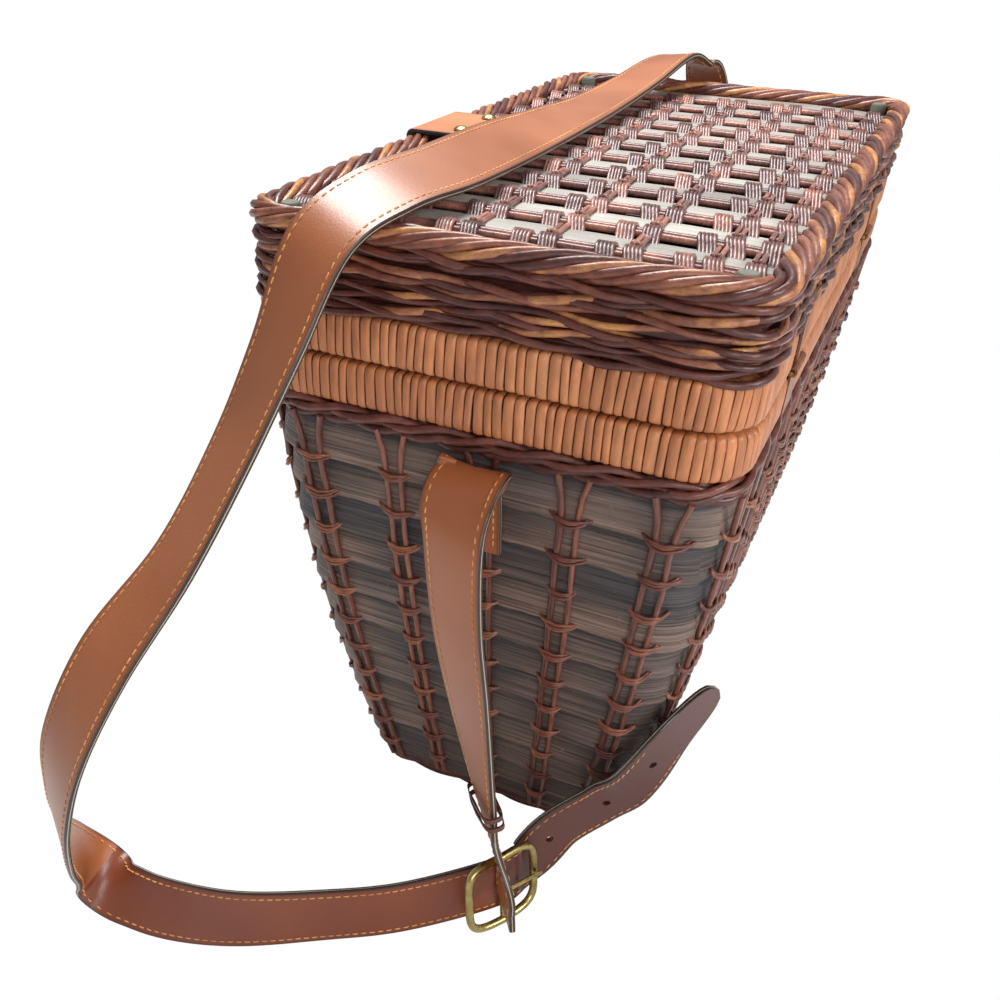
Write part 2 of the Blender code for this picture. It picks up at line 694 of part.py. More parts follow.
def hinge_loop(name, band, knuckles, notches, bottom):
    """A band round the hoop that ends in knuckles on the hinge axis."""
    low = bottom
    high = bottom + RIM_HEIGHT
    inside = HALF_WIDTH - RIM_THICKNESS
    wall = LOOP_THICKNESS
    outer = ((HALF_WIDTH, low), (HALF_WIDTH, high), (inside, high), (inside, low))
    inner = ((HALF_WIDTH - wall, low + wall), (HALF_WIDTH - wall, high - wall),
             (inside + wall, high - wall), (inside + wall, low + wall))
    bm = bmesh.new()
    loops = []
    for outline, y in ((outer, band[0]), (outer, band[1]), (inner, band[1]), (inner, band[0])):
        loops.append([bm.verts.new((x, y, z)) for x, z in outline])
    for i in range(len(loops)):
        loop_faces(bm, loops[i], loops[(i + 1) % len(loops)])
    loop = finish(name, bm, cane, smooth=False)

    # The knuckles join the band, which is then cut for the other loop's knuckle and for the pin
    joined = bmesh.new()
    for start, end in knuckles:
        tube(joined, (HALF_WIDTH, start, HINGE_Z), (HALF_WIDTH, end, HINGE_Z), KNUCKLE_RADIUS)
    boolean(loop, cutter(f"{name}_knuckles", joined), "UNION")
    for number, (start, end) in enumerate(notches):
        notch = bmesh.new()
        tube(notch, (HALF_WIDTH, start, HINGE_Z), (HALF_WIDTH, end, HINGE_Z), KNUCKLE_RADIUS + 2 * GAP)
        boolean(loop, cutter(f"{name}_notch_{number}", notch), "DIFFERENCE")
    bore = bmesh.new()
    tube(bore, (HALF_WIDTH, band[0] - CUT_OVERRUN, HINGE_Z), (HALF_WIDTH, band[1] + CUT_OVERRUN, HINGE_Z),
         KNUCKLE_BORE)
    boolean(loop, cutter(f"{name}_bore", bore), "DIFFERENCE")


def make_lifting_tab():
    """Leather tab bent over the lid's front edge, with two brass rivets on top."""
    outer = FRONT_FACE
    top = LID_TOP + GAP
    outline = ((-outer + TAB_TOP_REACH, top), (-outer + TAB_TOP_REACH, top + TAB_THICKNESS),
               (-outer, top + TAB_THICKNESS), (-outer - TAB_THICKNESS, top),
               (-outer - TAB_THICKNESS, top - TAB_DROP), (-outer, top - TAB_DROP), (-outer, top))
    place = Matrix(((1, 0, 0, 0), (0, 0, 1, TAB_OFFSET - TAB_WIDTH / 2), (0, 1, 0, 0), (0, 0, 0, 1)))
    bm = bmesh.new()
    extrude_outline(bm, outline, place, TAB_WIDTH)
    finish("lifting_tab", bm, leather)
    for tag, sign in (("near", -1), ("far", 1)):
        across = TAB_OFFSET + sign * TAB_RIVET_SPACING / 2
        face = Vector((-outer + TAB_TOP_REACH / 2, across, top + TAB_THICKNESS))
        domed_rivet(f"lifting_tab_rivet_{tag}", face, Vector((0, 0, 1)), TAB_RIVET_RADIUS, TAB_RIVET_HEIGHT)


def domed_rivet(name, face, normal, radius, height):
    """A rivet head that sits a gap above the face."""
    start = face + normal * GAP
    centres = [start, start + normal * (height / 2), start + normal * height]
    bm = bmesh.new()
    sweep(bm, centres, [radius, radius * RIVET_WAIST_SHARE, radius * RIVET_TOP_SHARE], ROUND_SIDES)
    finish(name, bm, brass)


def closure_frame_top():
    return LID_RIM_BOTTOM + RIM_HEIGHT + CLOSURE_FRAME_HEIGHT / 3


def make_closure(tag, sign):
    """A small strap on the tub that comes up into a brass buckle on the lid."""
    middle = sign * CLOSURE_REACH
    back = -max(HALF_WIDTH, wall_half(WALL_HEIGHT)[0] + STAKE_DEPTH) - GAP
    front = back - CLOSURE_LEATHER
    half = CLOSURE_WIDTH / 2
    frame_x = front - GAP - CLOSURE_WIRE
    top = closure_frame_top()
    bottom = top - CLOSURE_FRAME_HEIGHT
    seam = (top + bottom) / 2

    # Leather on the lid, notched for the prong's eye, with its rivet
    notch = CLOSURE_NOTCH / 2
    high = LID_BORDER_BOTTOM
    eye_top = top + CLOSURE_EYE_RADIUS + GAP
    outline = ((-half, high), (-half, seam + GAP), (-notch, seam + GAP), (-notch, eye_top),
               (notch, eye_top), (notch, seam + GAP), (half, seam + GAP), (half, high))
    place = Matrix(((0, 0, 1, front), (1, 0, 0, middle), (0, 1, 0, 0), (0, 0, 0, 1)))
    bm = bmesh.new()
    extrude_outline(bm, outline, place, CLOSURE_LEATHER)
    finish(f"closure_tab_{tag}", bm, leather)
    domed_rivet(f"closure_tab_rivet_{tag}", Vector((front, middle, (eye_top + high) / 2)), Vector((-1, 0, 0)),
                CLOSURE_RIVET_RADIUS, CLOSURE_RIVET_HEIGHT)

    # Strap on the tub, straight up from its rivet to the seam between strap and tab
    foot = -wall_half(CLOSURE_STRAP_FOOT)[0] - STAKE_DEPTH - GAP
    outline = ((front, seam - GAP), (back, seam - GAP), (back, BORDER_BOTTOM), (foot, CLOSURE_STRAP_FOOT),
               (foot - CLOSURE_LEATHER, CLOSURE_STRAP_FOOT), (front, BORDER_BOTTOM))
    place = Matrix(((1, 0, 0, 0), (0, 0, 1, middle - half), (0, 1, 0, 0), (0, 0, 0, 1)))
    bm = bmesh.new()
    extrude_outline(bm, outline, place, CLOSURE_WIDTH)
    finish(f"closure_strap_{tag}", bm, leather)
    low_face = Vector((foot - CLOSURE_LEATHER, middle, CLOSURE_STRAP_FOOT))
    high_face = Vector((front, middle, BORDER_BOTTOM))
    rise = (high_face - low_face).normalized()
    domed_rivet(f"closure_strap_rivet_{tag}", (low_face + high_face) / 2, Vector((-rise.z, 0, rise.x)),
                CLOSURE_RIVET_RADIUS, CLOSURE_RIVET_HEIGHT)

    # Buckle frame of round brass wire, its lower bar clear of the strap so the lid can lift
    half_frame = CLOSURE_FRAME_WIDTH / 2 - CLOSURE_WIRE
    bm = bmesh.new()
    centres = []
    for y, z in rounded_rectangle(half_frame, CLOSURE_FRAME_HEIGHT / 2, CLOSURE_WIRE * 2):
        tilt = CLOSURE_TILT * (CLOSURE_FRAME_HEIGHT / 2 - z) / CLOSURE_FRAME_HEIGHT
        centres.append(Vector((frame_x - tilt, middle + y, seam + z)))
    sweep(bm, centres, [CLOSURE_WIRE] * len(centres), STAKE_SIDES, closed=True)
    finish(f"closure_buckle_{tag}", bm, brass)

    # Prong with its eye round the frame's top bar
    eye = CLOSURE_EYE_WIDTH / 2
    bm = bmesh.new()
    ring_tube(bm, (frame_x, middle - eye, top), (frame_x, middle + eye, top),
              CLOSURE_EYE_RADIUS, CLOSURE_EYE_BORE)
    prong = finish(f"closure_prong_{tag}", bm, brass)
    arm = bmesh.new()
    root = Vector((frame_x - CLOSURE_EYE_RADIUS, middle, top))
    tip_x = frame_x - CLOSURE_TILT - CLOSURE_WIRE - GAP - CLOSURE_PRONG_RADIUS
    tip = Vector((tip_x, middle, bottom - CLOSURE_WIRE))
    sweep(arm, [root, tip], [CLOSURE_PRONG_RADIUS, CLOSURE_PRONG_RADIUS], STAKE_SIDES)
    boolean(prong, cutter(f"closure_arm_{tag}", arm), "UNION")


def buckle_place():
    """The big buckle's frame of axes: along the strap, up its width, and out of its face."""
    along = Vector((math.cos(BUCKLE_HEADING), math.sin(BUCKLE_HEADING), 0))
    back = Vector((-along.y, along.x, 0))
    up = (Vector((0, 0, 1)) * math.cos(BUCKLE_LEAN) + back * math.sin(BUCKLE_LEAN)).normalized()
    out = along.cross(up)
    height = (BUCKLE_HEIGHT / 2) * up.z + BUCKLE_WIRE + GAP
    x_share, y_share = BUCKLE_PLACE_SHARES
    centre = Vector((x_share * HALF_WIDTH, y_share * HALF_LENGTH, height))
    return centre, along, up, out


def route_point(row):
    """Centre and width direction of one row of a route."""
    x_share, y_share, level, rise, across = row
    across = Vector(across).normalized()
    down = abs(across.z) * STRAP_WIDTH / 2 + LEATHER_THICKNESS / 2
    if level == "top":
        z = LID_TOP + rise * LID_TOP + down
    elif level == "floor":
        z = down + GAP + rise * LID_TOP
    else:
        z = rise * LID_TOP
    return Vector((x_share * HALF_WIDTH, y_share * HALF_LENGTH, z)), across


def tail_rows(sign):
    """The riveted end of a strap, flat against the stakes of an end wall: centres from the bottom up."""
    across = Vector((-1, 0, 0))
    seat = STAKE_DEPTH + 2 * GAP + LEATHER_THICKNESS / 2
    high = wall_half(ANCHOR_Z)[1]
    low = wall_half(ANCHOR_Z - TAIL_LENGTH)[1]
    rows = []
    for drop in (TAIL_LENGTH, TAIL_TOP_LENGTH, 0):
        y = high + (low - high) * drop / TAIL_LENGTH + seat
        rows.append((Vector((0, sign * y, ANCHOR_Z - drop)), across))
    return rows


def make_shoulder_strap():
    centre, along, up, out = buckle_place()
    behind = out * -(BUCKLE_EYE_RADIUS + GAP + LEATHER_THICKNESS / 2)
    stations = tail_rows(1)
    past_rim = HALF_LENGTH + LEATHER_THICKNESS
    stations.append((Vector((0, past_rim, RIM_BOTTOM)), stations[0][1]))
    behind_rim = Vector((-STRAP_WIDTH / 8, past_rim + LEATHER_THICKNESS, RIM_TOP))
    stations.append((behind_rim, stations[0][1]))
    stations += [route_point(row) for row in SHOULDER_OVER_LID_SHARES]
    stations += [route_point(row) for row in SHOULDER_FALLING_SHARES]
    stations.append((centre + behind, up))
    stations.append((centre + behind + (behind + along * (BUCKLE_LENGTH - BUCKLE_WIRE)) / 2, up))
    stations += [route_point(row) for row in SHOULDER_TIP_SHARES]
    route = smooth_route(stations)
    shares = [1.0] * len(route)
    for i, share in enumerate(SHOULDER_ROUND_SHARES):
        shares[len(route) - 1 - i] = share
    bm = bmesh.new()
    ribbon(bm, route, STRAP_WIDTH, LEATHER_THICKNESS, shares)
    finish("shoulder_strap", bm, leather)


def make_keeper(place):
    """Loop of leather round the strap, between two stations of its route."""
    (first, first_up), (second, second_up) = place
    along = (second - first).normalized()
    up = (first_up + second_up).normalized()
    up = (up - along * up.dot(along)).normalized()
    out = along.cross(up)
    middle = (first + second) / 2
    half_up = STRAP_WIDTH / 2 + 3 * GAP
    half_out = LEATHER_THICKNESS / 2 + 4 * GAP
    loops = []
    bm = bmesh.new()
    for wall, reach in ((KEEPER_WALL, -1), (KEEPER_WALL, 1), (0, 1), (0, -1)):
        loop = []
        for sign_up, sign_out in ((-1, -1), (1, -1), (1, 1), (-1, 1)):
            point = middle + along * (reach * KEEPER_LENGTH / 2)
            point += up * (sign_up * (half_up + wall)) + out * (sign_out * (half_out + wall))
            loop.append(bm.verts.new(point))
        loops.append(loop)
    for i in range(len(loops)):
        loop_faces(bm, loops[i], loops[(i + 1) % len(loops)])
    finish("strap_keeper", bm, leather, smooth=False)


def make_buckle():
    centre, along, up, out = buckle_place()
    corner = BUCKLE_WIRE * 3
    bm = bmesh.new()
    outline = rounded_rectangle(BUCKLE_LENGTH / 2 - BUCKLE_WIRE, BUCKLE_HEIGHT / 2, corner)
    centres = [centre + along * u + up * v for u, v in outline]
    sweep(bm, centres, [BUCKLE_WIRE] * len(centres), BUCKLE_SIDES, closed=True)
    frame = finish("buckle_frame", bm, brass)
    bar = bmesh.new()
    tube(bar, centre - up * (BUCKLE_HEIGHT / 2), centre + up * (BUCKLE_HEIGHT / 2), BUCKLE_BAR)
    boolean(frame, cutter("buckle_bar", bar), "UNION")

    eye = BUCKLE_EYE_WIDTH / 2
    bm = bmesh.new()
    ring_tube(bm, centre - up * eye, centre + up * eye, BUCKLE_EYE_RADIUS, BUCKLE_EYE_BORE)
    prong = finish("buckle_prong", bm, brass)
    arm = bmesh.new()
    root = centre + out * (BUCKLE_EYE_BORE + GAP + PRONG_RADIUS)
    end = centre + along * (BUCKLE_LENGTH / 2) + out * (BUCKLE_WIRE + GAP * 2 + PRONG_RADIUS)
    sweep(arm, [root, end], [PRONG_RADIUS, PRONG_RADIUS], BUCKLE_SIDES)
    boolean(prong, cutter("buckle_prong_arm", arm), "UNION")


def make_buckle_strap():
    """Riveted at the middle of the near end wall, folded forward under the rim and hanging to the buckle."""
    centre, along, up, out = buckle_place()
    stations = tail_rows(-1)
    across = stations[0][1]
    tail_top = stations[-1][0]
    stations.append((tail_top + Vector((0, -FOLD_REACH / 2, FOLD_REACH)), across))
    stations.append((tail_top + Vector((0, -2 * FOLD_REACH, FOLD_REACH / 2)), across))
    stations += [route_point(row) for row in BUCKLE_STRAP_SHARES]
    keeper_place = stations[-2:]
    end = centre + up * (BUCKLE_HEIGHT / 2 + BUCKLE_WIRE + LEATHER_THICKNESS)
    stations.append((end, (along - 2 * out).normalized()))
    bm = bmesh.new()
    ribbon(bm, smooth_route(stations), STRAP_WIDTH, LEATHER_THICKNESS)
    finish("buckle_strap", bm, leather)
    make_keeper(keeper_place)


def make_end_rivets(tag, sign):
    """Two rivets through the strap's tail at one end wall."""
    low, high, _ = [row[0] for row in tail_rows(sign)]
    rise = (high - low).normalized()
    normal = Vector((0, sign * rise.z, -sign * rise.y))
    for number, share in enumerate(END_RIVET_SHARES, start=1):
        face = low + (high - low) * share + normal * (LEATHER_THICKNESS / 2)
        domed_rivet(f"end_rivet_{tag}_{number}", face, normal, END_RIVET_RADIUS, END_RIVET_HEIGHT)


def main():
    clear_scene()
    make_foot()
    make_slats()
    make_stakes()
    make_border()
    make_hoop("tub_rim_hoop", RIM_BOTTOM)
    make_winding("tub_rim_winding", RIM_BOTTOM)
    make_hoop("lid_rim_hoop", LID_RIM_BOTTOM)
    make_winding("lid_rim_winding", LID_RIM_BOTTOM)
    make_lid_wall()
    make_lid_border()
    make_lid_top()
    make_hinge("near", -1)
    make_hinge("far", 1)
    make_lifting_tab()
    make_closure("near", -1)
    make_closure("far", 1)
    make_buckle()
    make_shoulder_strap()
    make_buckle_strap()
    make_end_rivets("near", -1)
    make_end_rivets("far", 1)


main()
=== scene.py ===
# Looks of a wicker picnic basket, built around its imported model.
# Metres, +Z up. The near end is -Y, the front with the closures is -X, the hinges are at +X.

import math

import bmesh
import bpy
import numpy as np
from bpy.props import FloatProperty, FloatVectorProperty, IntProperty, PointerProperty
from mathutils import Matrix, Vector


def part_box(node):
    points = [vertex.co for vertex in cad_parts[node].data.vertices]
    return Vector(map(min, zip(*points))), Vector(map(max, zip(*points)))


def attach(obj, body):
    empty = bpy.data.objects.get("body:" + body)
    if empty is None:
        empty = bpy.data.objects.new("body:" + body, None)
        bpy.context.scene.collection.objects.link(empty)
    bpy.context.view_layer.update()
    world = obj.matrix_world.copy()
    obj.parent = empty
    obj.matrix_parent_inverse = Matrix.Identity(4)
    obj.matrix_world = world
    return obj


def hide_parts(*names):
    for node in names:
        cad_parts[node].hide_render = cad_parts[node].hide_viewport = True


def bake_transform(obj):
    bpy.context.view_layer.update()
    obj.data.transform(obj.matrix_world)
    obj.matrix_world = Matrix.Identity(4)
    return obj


bl_info = {
    "name": "Wicker Picnic Basket",
    "version": (1, 0, 0),
    "blender": (4, 5, 0),
    "location": "3D View > Sidebar > Basket",
    "description": "Weave, straps, brass and finishes of a wicker picnic basket",
    "category": "Object",
}

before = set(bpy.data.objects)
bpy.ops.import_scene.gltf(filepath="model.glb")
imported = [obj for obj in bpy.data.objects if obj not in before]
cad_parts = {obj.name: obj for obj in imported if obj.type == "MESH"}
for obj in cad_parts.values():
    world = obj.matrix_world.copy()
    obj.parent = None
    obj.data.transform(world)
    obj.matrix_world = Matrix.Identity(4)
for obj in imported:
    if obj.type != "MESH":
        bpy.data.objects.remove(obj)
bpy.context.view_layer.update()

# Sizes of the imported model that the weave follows
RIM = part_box("tub_rim_winding")
LID_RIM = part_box("lid_rim_winding")
HALF_WIDTH = RIM[1][0]
HALF_LENGTH = RIM[1][1]
RIM_CORNER = 0.026
RIM_THICKNESS = 0.011
LID_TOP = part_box("lid_border")[1][2]
LID_BORDER_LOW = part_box("lid_border")[0][2]
LID_WALL_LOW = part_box("lid_wall")[0][2]
LID_WALL_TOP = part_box("lid_wall")[1][2]
LID_SLAT_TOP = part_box("lid_slat_panel")[1][2]
LID_INNER = HALF_WIDTH - 0.0110
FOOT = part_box("foot_border")
FOOT_CORNER = 0.020
FOOT_HEIGHT = FOOT[1][2]
WALL_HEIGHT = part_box("wall_slat_01")[1][2]
WALL_INSET = 0.004
WALL_BULGE = 0.005
FOOT_HALF_WIDTH = 0.073
FOOT_HALF_LENGTH = 0.152
SLAT_PITCH = 0.0203
SLAT_COUNT = 12
SLAT_THICKNESS = 0.0025
STAKE_RADIUS = 0.0015
STAKE_SPACING = 0.0062
STAKE_OUT = 0.0028
END_STAKE_SHARES = (-0.76, -0.36, 0.05, 0.43, 0.81)
SIDE_STAKE_COUNT = 12
SIDE_STAKE_SPAN_SHARE = 0.90
LID_ROW_FIRST = 0.1604
LID_ROW_PITCH = 0.0307
LID_ROW_COUNT = 12
STRAP_WIDTH = 0.032
LEATHER = 0.003
GAP = 0.0003
ANCHOR_Z = 0.2347
BUCKLE_LENGTH = 0.046
BUCKLE_HEIGHT = 0.042
BUCKLE_WIRE = 0.0020
BUCKLE_HEADING = 1.064
BUCKLE_LEAN = 0.16
BUCKLE_EYE_RADIUS = 0.0028

# A strap is laid through stations. A row is x and y as shares of the half width and half length, what its
# height counts from, the height as a share of the lid's top, and the way across the strap. "top" sets the
# strap's lower edge above the lid, "floor" sets it above the floor, and "free" sets the strap's middle.
BUCKLE_PLACE_SHARES = (0.39, -1.13)
SHOULDER_OVER_LID_SHARES = (
    (-0.13, 1.06, "free", 0.93, (-0.95, 0.20, 0.05)),
    (-0.21, 1.05, "free", 1.02, (-0.92, 0.38, 0.10)),
    (-0.28, 1.00, "free", 1.035, (-0.95, 0.30, 0.00)),
    (-0.34, 0.88, "free", 1.045, (-0.97, 0.18, -0.15)),
    (-0.40, 0.62, "top", 0.015, (-1.00, 0.10, -0.05)),
    (-0.42, 0.30, "top", 0.005, (-1.00, 0.00, 0.05)),
    (-0.41, -0.05, "top", 0.002, (-0.97, 0.00, 0.22)),
    (-0.40, -0.40, "top", 0.002, (-0.93, 0.00, 0.36)),
    (-0.40, -0.70, "top", 0.006, (-0.94, 0.06, 0.34)),
    (-0.45, -0.93, "top", 0.008, (-0.95, 0.12, 0.26)),
)
SHOULDER_FALLING_SHARES = (
    (-0.53, -1.09, "free", 0.99, (-0.97, 0.20, 0.12)),
    (-0.60, -1.20, "free", 0.88, (-0.91, 0.41, 0.02)),
    (-0.69, -1.30, "free", 0.77, (-0.87, 0.49, -0.02)),
    (-0.81, -1.43, "free", 0.65, (-0.88, 0.48, 0.00)),
    (-0.97, -1.58, "free", 0.54, (-0.93, 0.32, 0.18)),
    (-1.10, -1.67, "free", 0.42, (-0.92, 0.36, 0.17)),
    (-1.18, -1.69, "free", 0.31, (-0.83, 0.53, 0.21)),
    (-1.26, -1.66, "free", 0.21, (-0.70, 0.60, 0.39)),
    (-1.35, -1.59, "free", 0.12, (-0.50, 0.76, 0.36)),
    (-1.33, -1.56, "free", 0.07, (-0.10, 0.85, 0.40)),
    (-1.20, -1.56, "floor", 0.0, (0.15, 0.62, 0.77)),
    (-0.92, -1.55, "floor", 0.0, (-0.15, 0.45, 0.88)),
    (-0.62, -1.50, "floor", 0.0, (-0.13, 0.25, 0.96)),
    (-0.30, -1.40, "floor", 0.0, (-0.10, 0.13, 0.99)),
    (0.02, -1.28, "floor", 0.0, (-0.10, 0.10, 0.99)),
)
SHOULDER_TIP_SHARES = (
    (0.53, -0.96, "free", 0.12, (-0.24, -0.20, 0.94)),
    (0.69, -0.90, "free", 0.17, (-0.27, -0.30, 0.90)),
    (0.81, -0.88, "free", 0.22, (-0.36, -0.45, 0.81)),
    (0.92, -0.84, "free", 0.31, (-0.34, -0.58, 0.74)),
    (1.04, -0.75, "free", 0.38, (-0.30, -0.50, 0.81)),
)
BUCKLE_STRAP_SHARES = (
    (0.06, -1.14, "free", 0.67, (-0.96, 0.28, 0.00)),
    (0.09, -1.14, "free", 0.55, (-0.92, 0.38, 0.00)),
    (0.15, -1.14, "free", 0.44, (-0.88, 0.46, 0.00)),
    (0.25, -1.14, "free", 0.28, (-0.72, 0.68, 0.00)),
    (0.32, -1.15, "free", 0.20, (-0.60, 0.80, 0.00)),
)


# Sizes and colours

def length_setting(name, description, default):
    return FloatProperty(name=name, description=description, default=default, unit="LENGTH")


def colour_setting(name, description, red, green, blue):
    return FloatVectorProperty(name=name, description=description, default=(red, green, blue, 1), size=4,
                               subtype="COLOR")


class BasketSizes(bpy.types.PropertyGroup):
    cane_pitch: length_setting("Cane pitch", "Width of one turn of cane round a rim", 0.0043)
    cane_crown: length_setting("Cane crown", "Rise of the cane's middle above its edges", 0.0005)
    wrap_radius: length_setting("Wrap radius", "Radius of the strands that tie the stakes", 0.0008)
    wrap_reach: length_setting("Wrap reach", "Half the width of a tie over a pair of stakes", 0.0094)
    lid_strand: length_setting("Lid strand", "Radius of the lid wall's willow rods", 0.0016)
    split_radius: length_setting("Split radius", "Radius of the splits that bind the lid top", 0.00095)
    stitch_pitch: length_setting("Stitch pitch", "Distance from one stitch to the next", 0.0042)
    stitch_inset: length_setting("Stitch inset", "Distance from the strap's edge to a seam", 0.0032)
    rod_sides: IntProperty(name="Rod sides", description="Facets round a willow rod", default=7, min=4,
                           max=16)


class BasketColours(bpy.types.PropertyGroup):
    willow: colour_setting("Willow", "Dark varnished willow rods", 0.230, 0.068, 0.045)
    splits: colour_setting("Splits", "Splits that bind the lid top", 0.215, 0.092, 0.078)
    slats: colour_setting("Slats", "Stained slats of the wall", 0.225, 0.166, 0.136)
    lid_slats: colour_setting("Lid slats", "Pale slats of the lid", 0.46, 0.43, 0.38)
    cane: colour_setting("Cane", "Flat cane round the rims", 0.56, 0.198, 0.073)
    leather: colour_setting("Leather", "Tan strap leather", 0.36, 0.110, 0.036)
    thread: colour_setting("Thread", "Orange stitching", 0.66, 0.30, 0.09)
    brass: colour_setting("Brass", "Antique brass", 0.55, 0.44, 0.19)


def sizes():
    return bpy.context.scene.basket_sizes


def colours():
    return bpy.context.scene.basket_colours


# Node helpers

def link(tree, start, end):
    tree.links.new(start, end)


def feed(tree, value, socket):
    """Puts a number, a colour or another node's output into a socket."""
    if isinstance(value, (int, float)):
        socket.default_value = value
    elif isinstance(value, (tuple, list)):
        socket.default_value = (*value[:3], 1.0)
    else:
        link(tree, value, socket)


def shared_tree(name, kind, inputs, outputs, fill):
    """The node tree of that name. It is built and filled on first use."""
    tree = bpy.data.node_groups.get(name)
    if tree is None:
        tree = bpy.data.node_groups.new(name, kind)
        for way, sockets in (("INPUT", inputs), ("OUTPUT", outputs)):
            for label, data, *default in sockets:
                socket = tree.interface.new_socket(name=label, in_out=way, socket_type="NodeSocket" + data)
                if default:
                    socket.default_value = default[0]
        fill(tree, tree.nodes.new("NodeGroupInput"), tree.nodes.new("NodeGroupOutput"))
    return tree


def maths(tree, operation, first, second=None, clamp=False):
    node = tree.nodes.new("ShaderNodeMath")
    node.operation = operation
    node.use_clamp = clamp
    for socket, value in zip(node.inputs, (first, second)):
        if value is not None:
            feed(tree, value, socket)
    return node.outputs[0]


def blend_colour(tree, factor, first, second, mode="MIX"):
    node = tree.nodes.new("ShaderNodeMix")
    node.data_type = "RGBA"
    node.blend_type = mode
    # A mix node keeps its sockets for colours after those for numbers and vectors
    for socket, value in ((node.inputs[0], factor), (node.inputs[6], first), (node.inputs[7], second)):
        feed(tree, value, socket)
    return node.outputs[2]


def noise(tree, vector, detail, roughness, scale=1.0):
    node = tree.nodes.new("ShaderNodeTexNoise")
    link(tree, vector, node.inputs["Vector"])
    for name, value in (("Detail", detail), ("Roughness", roughness), ("Scale", scale)):
        feed(tree, value, node.inputs[name])
    return node.outputs["Fac"]


def spread(tree, value, low, high):
    """Spreads what lies between low and high over 0 to 1."""
    node = tree.nodes.new("ShaderNodeMapRange")
    for name, source in (("Value", value), ("From Min", low), ("From Max", high)):
        feed(tree, source, node.inputs[name])
    return node.outputs[0]


def attribute(tree, name):
    node = tree.nodes.new("ShaderNodeAttribute")
    node.attribute_name = name
    return node.outputs["Fac"]


def colour_ramp(tree, value, stops):
    node = tree.nodes.new("ShaderNodeValToRGB")
    elements = node.color_ramp.elements
    elements[0].position, elements[0].color = stops[0][0], (*stops[0][1], 1)
    elements[1].position, elements[1].color = stops[-1][0], (*stops[-1][1], 1)
    for place, colour in stops[1:-1]:
        elements.new(place).color = (*colour, 1)
    link(tree, value, node.inputs[0])
    return node.outputs[0]


def shade(colour, factor):
    return tuple(min(1.0, c * f) for c, f in zip(colour[:3], factor))


def add_bump(tree, shader, height, strength, distance):
    node = tree.nodes.new("ShaderNodeBump")
    for name, value in (("Height", height), ("Strength", strength), ("Distance", distance)):
        feed(tree, value, node.inputs[name])
    link(tree, node.outputs[0], shader.inputs["Normal"])


# Shader groups

LINE_RANGE = (0.32, 0.68)
BLOTCH_RANGE = (0.35, 0.65)
BLOTCH_HEIGHT_SHARE = 0.5
SPECK_THRESHOLD = 0.78
SPECK_THRESHOLD_DROP = 0.35
SPECK_CONTRAST = 9.0


def fill_grain(tree, enter, leave):
    stretched = tree.nodes.new("ShaderNodeVectorMath")
    stretched.operation = "MULTIPLY"
    link(tree, enter.outputs["Vector"], stretched.inputs[0])
    link(tree, enter.outputs["Stretch"], stretched.inputs[1])
    fine = noise(tree, stretched.outputs[0], 4.0, 0.65)
    broad = noise(tree, enter.outputs["Vector"], 2.0, 0.5, enter.outputs["Blotch"])
    lines = spread(tree, fine, *LINE_RANGE)
    blotches = spread(tree, broad, *BLOTCH_RANGE)
    link(tree, lines, leave.inputs["Lines"])
    link(tree, blotches, leave.inputs["Blotches"])
    height = maths(tree, "ADD", lines, maths(tree, "MULTIPLY", blotches, BLOTCH_HEIGHT_SHARE))
    link(tree, height, leave.inputs["Height"])


def grain_group():
    """Fine lines along a stretch direction, with blotches of tone: Lines, Blotches and Height."""
    return shared_tree("Basket grain", "ShaderNodeTree",
                       (("Vector", "Vector"), ("Stretch", "Vector", (30.0, 30.0, 900.0)),
                        ("Blotch", "Float", 25.0)),
                       (("Lines", "Float"), ("Blotches", "Float"), ("Height", "Float")), fill_grain)


def fill_wear(tree, enter, leave):
    speck = noise(tree, enter.outputs["Vector"], 3.0, 0.6, enter.outputs["Scale"])
    drop = maths(tree, "MULTIPLY", enter.outputs["Amount"], SPECK_THRESHOLD_DROP)
    above = maths(tree, "SUBTRACT", speck, maths(tree, "SUBTRACT", SPECK_THRESHOLD, drop))
    link(tree, maths(tree, "MULTIPLY", above, SPECK_CONTRAST, clamp=True), leave.inputs["Mask"])


def wear_group():
    """Rubbed spots: a mask that is mostly 0, with small specks."""
    return shared_tree("Basket wear", "ShaderNodeTree",
                       (("Vector", "Vector"), ("Scale", "Float", 180.0), ("Amount", "Float", 0.3)),
                       (("Mask", "Float"),), fill_wear)


def add_group(tree, group, vector, **values):
    node = tree.nodes.new("ShaderNodeGroup")
    node.node_tree = group
    link(tree, vector, node.inputs["Vector"])
    for name, value in values.items():
        node.inputs[name].default_value = value
    return node


def start_material(name, roughness, **values):
    material = bpy.data.materials.new(name)
    material.use_nodes = True
    tree = material.node_tree
    shader = tree.nodes["Principled BSDF"]
    shader.inputs["Roughness"].default_value = roughness
    for socket, value in values.items():
        shader.inputs[socket.replace("_", " ")].default_value = value
    return material, tree, shader


def grain_and_wear(tree, stretch, blotch, wear_scale, wear_amount):
    """Both groups on object coordinates, with those coordinates."""
    place = tree.nodes.new("ShaderNodeTexCoord").outputs["Object"]
    return (place, add_group(tree, grain_group(), place, Stretch=stretch, Blotch=blotch),
            add_group(tree, wear_group(), place, Scale=wear_scale, Amount=wear_amount))


# Wood and fibre finishes. A stop is a place on the tint scale and a factor on the finish's colour, which is
# one of the panel's colours or a colour of its own. Stretch is the noise's scale along x, y and z, blotch the
# scale of its tones, and line_depth the factor that darkens the lines between fibres.

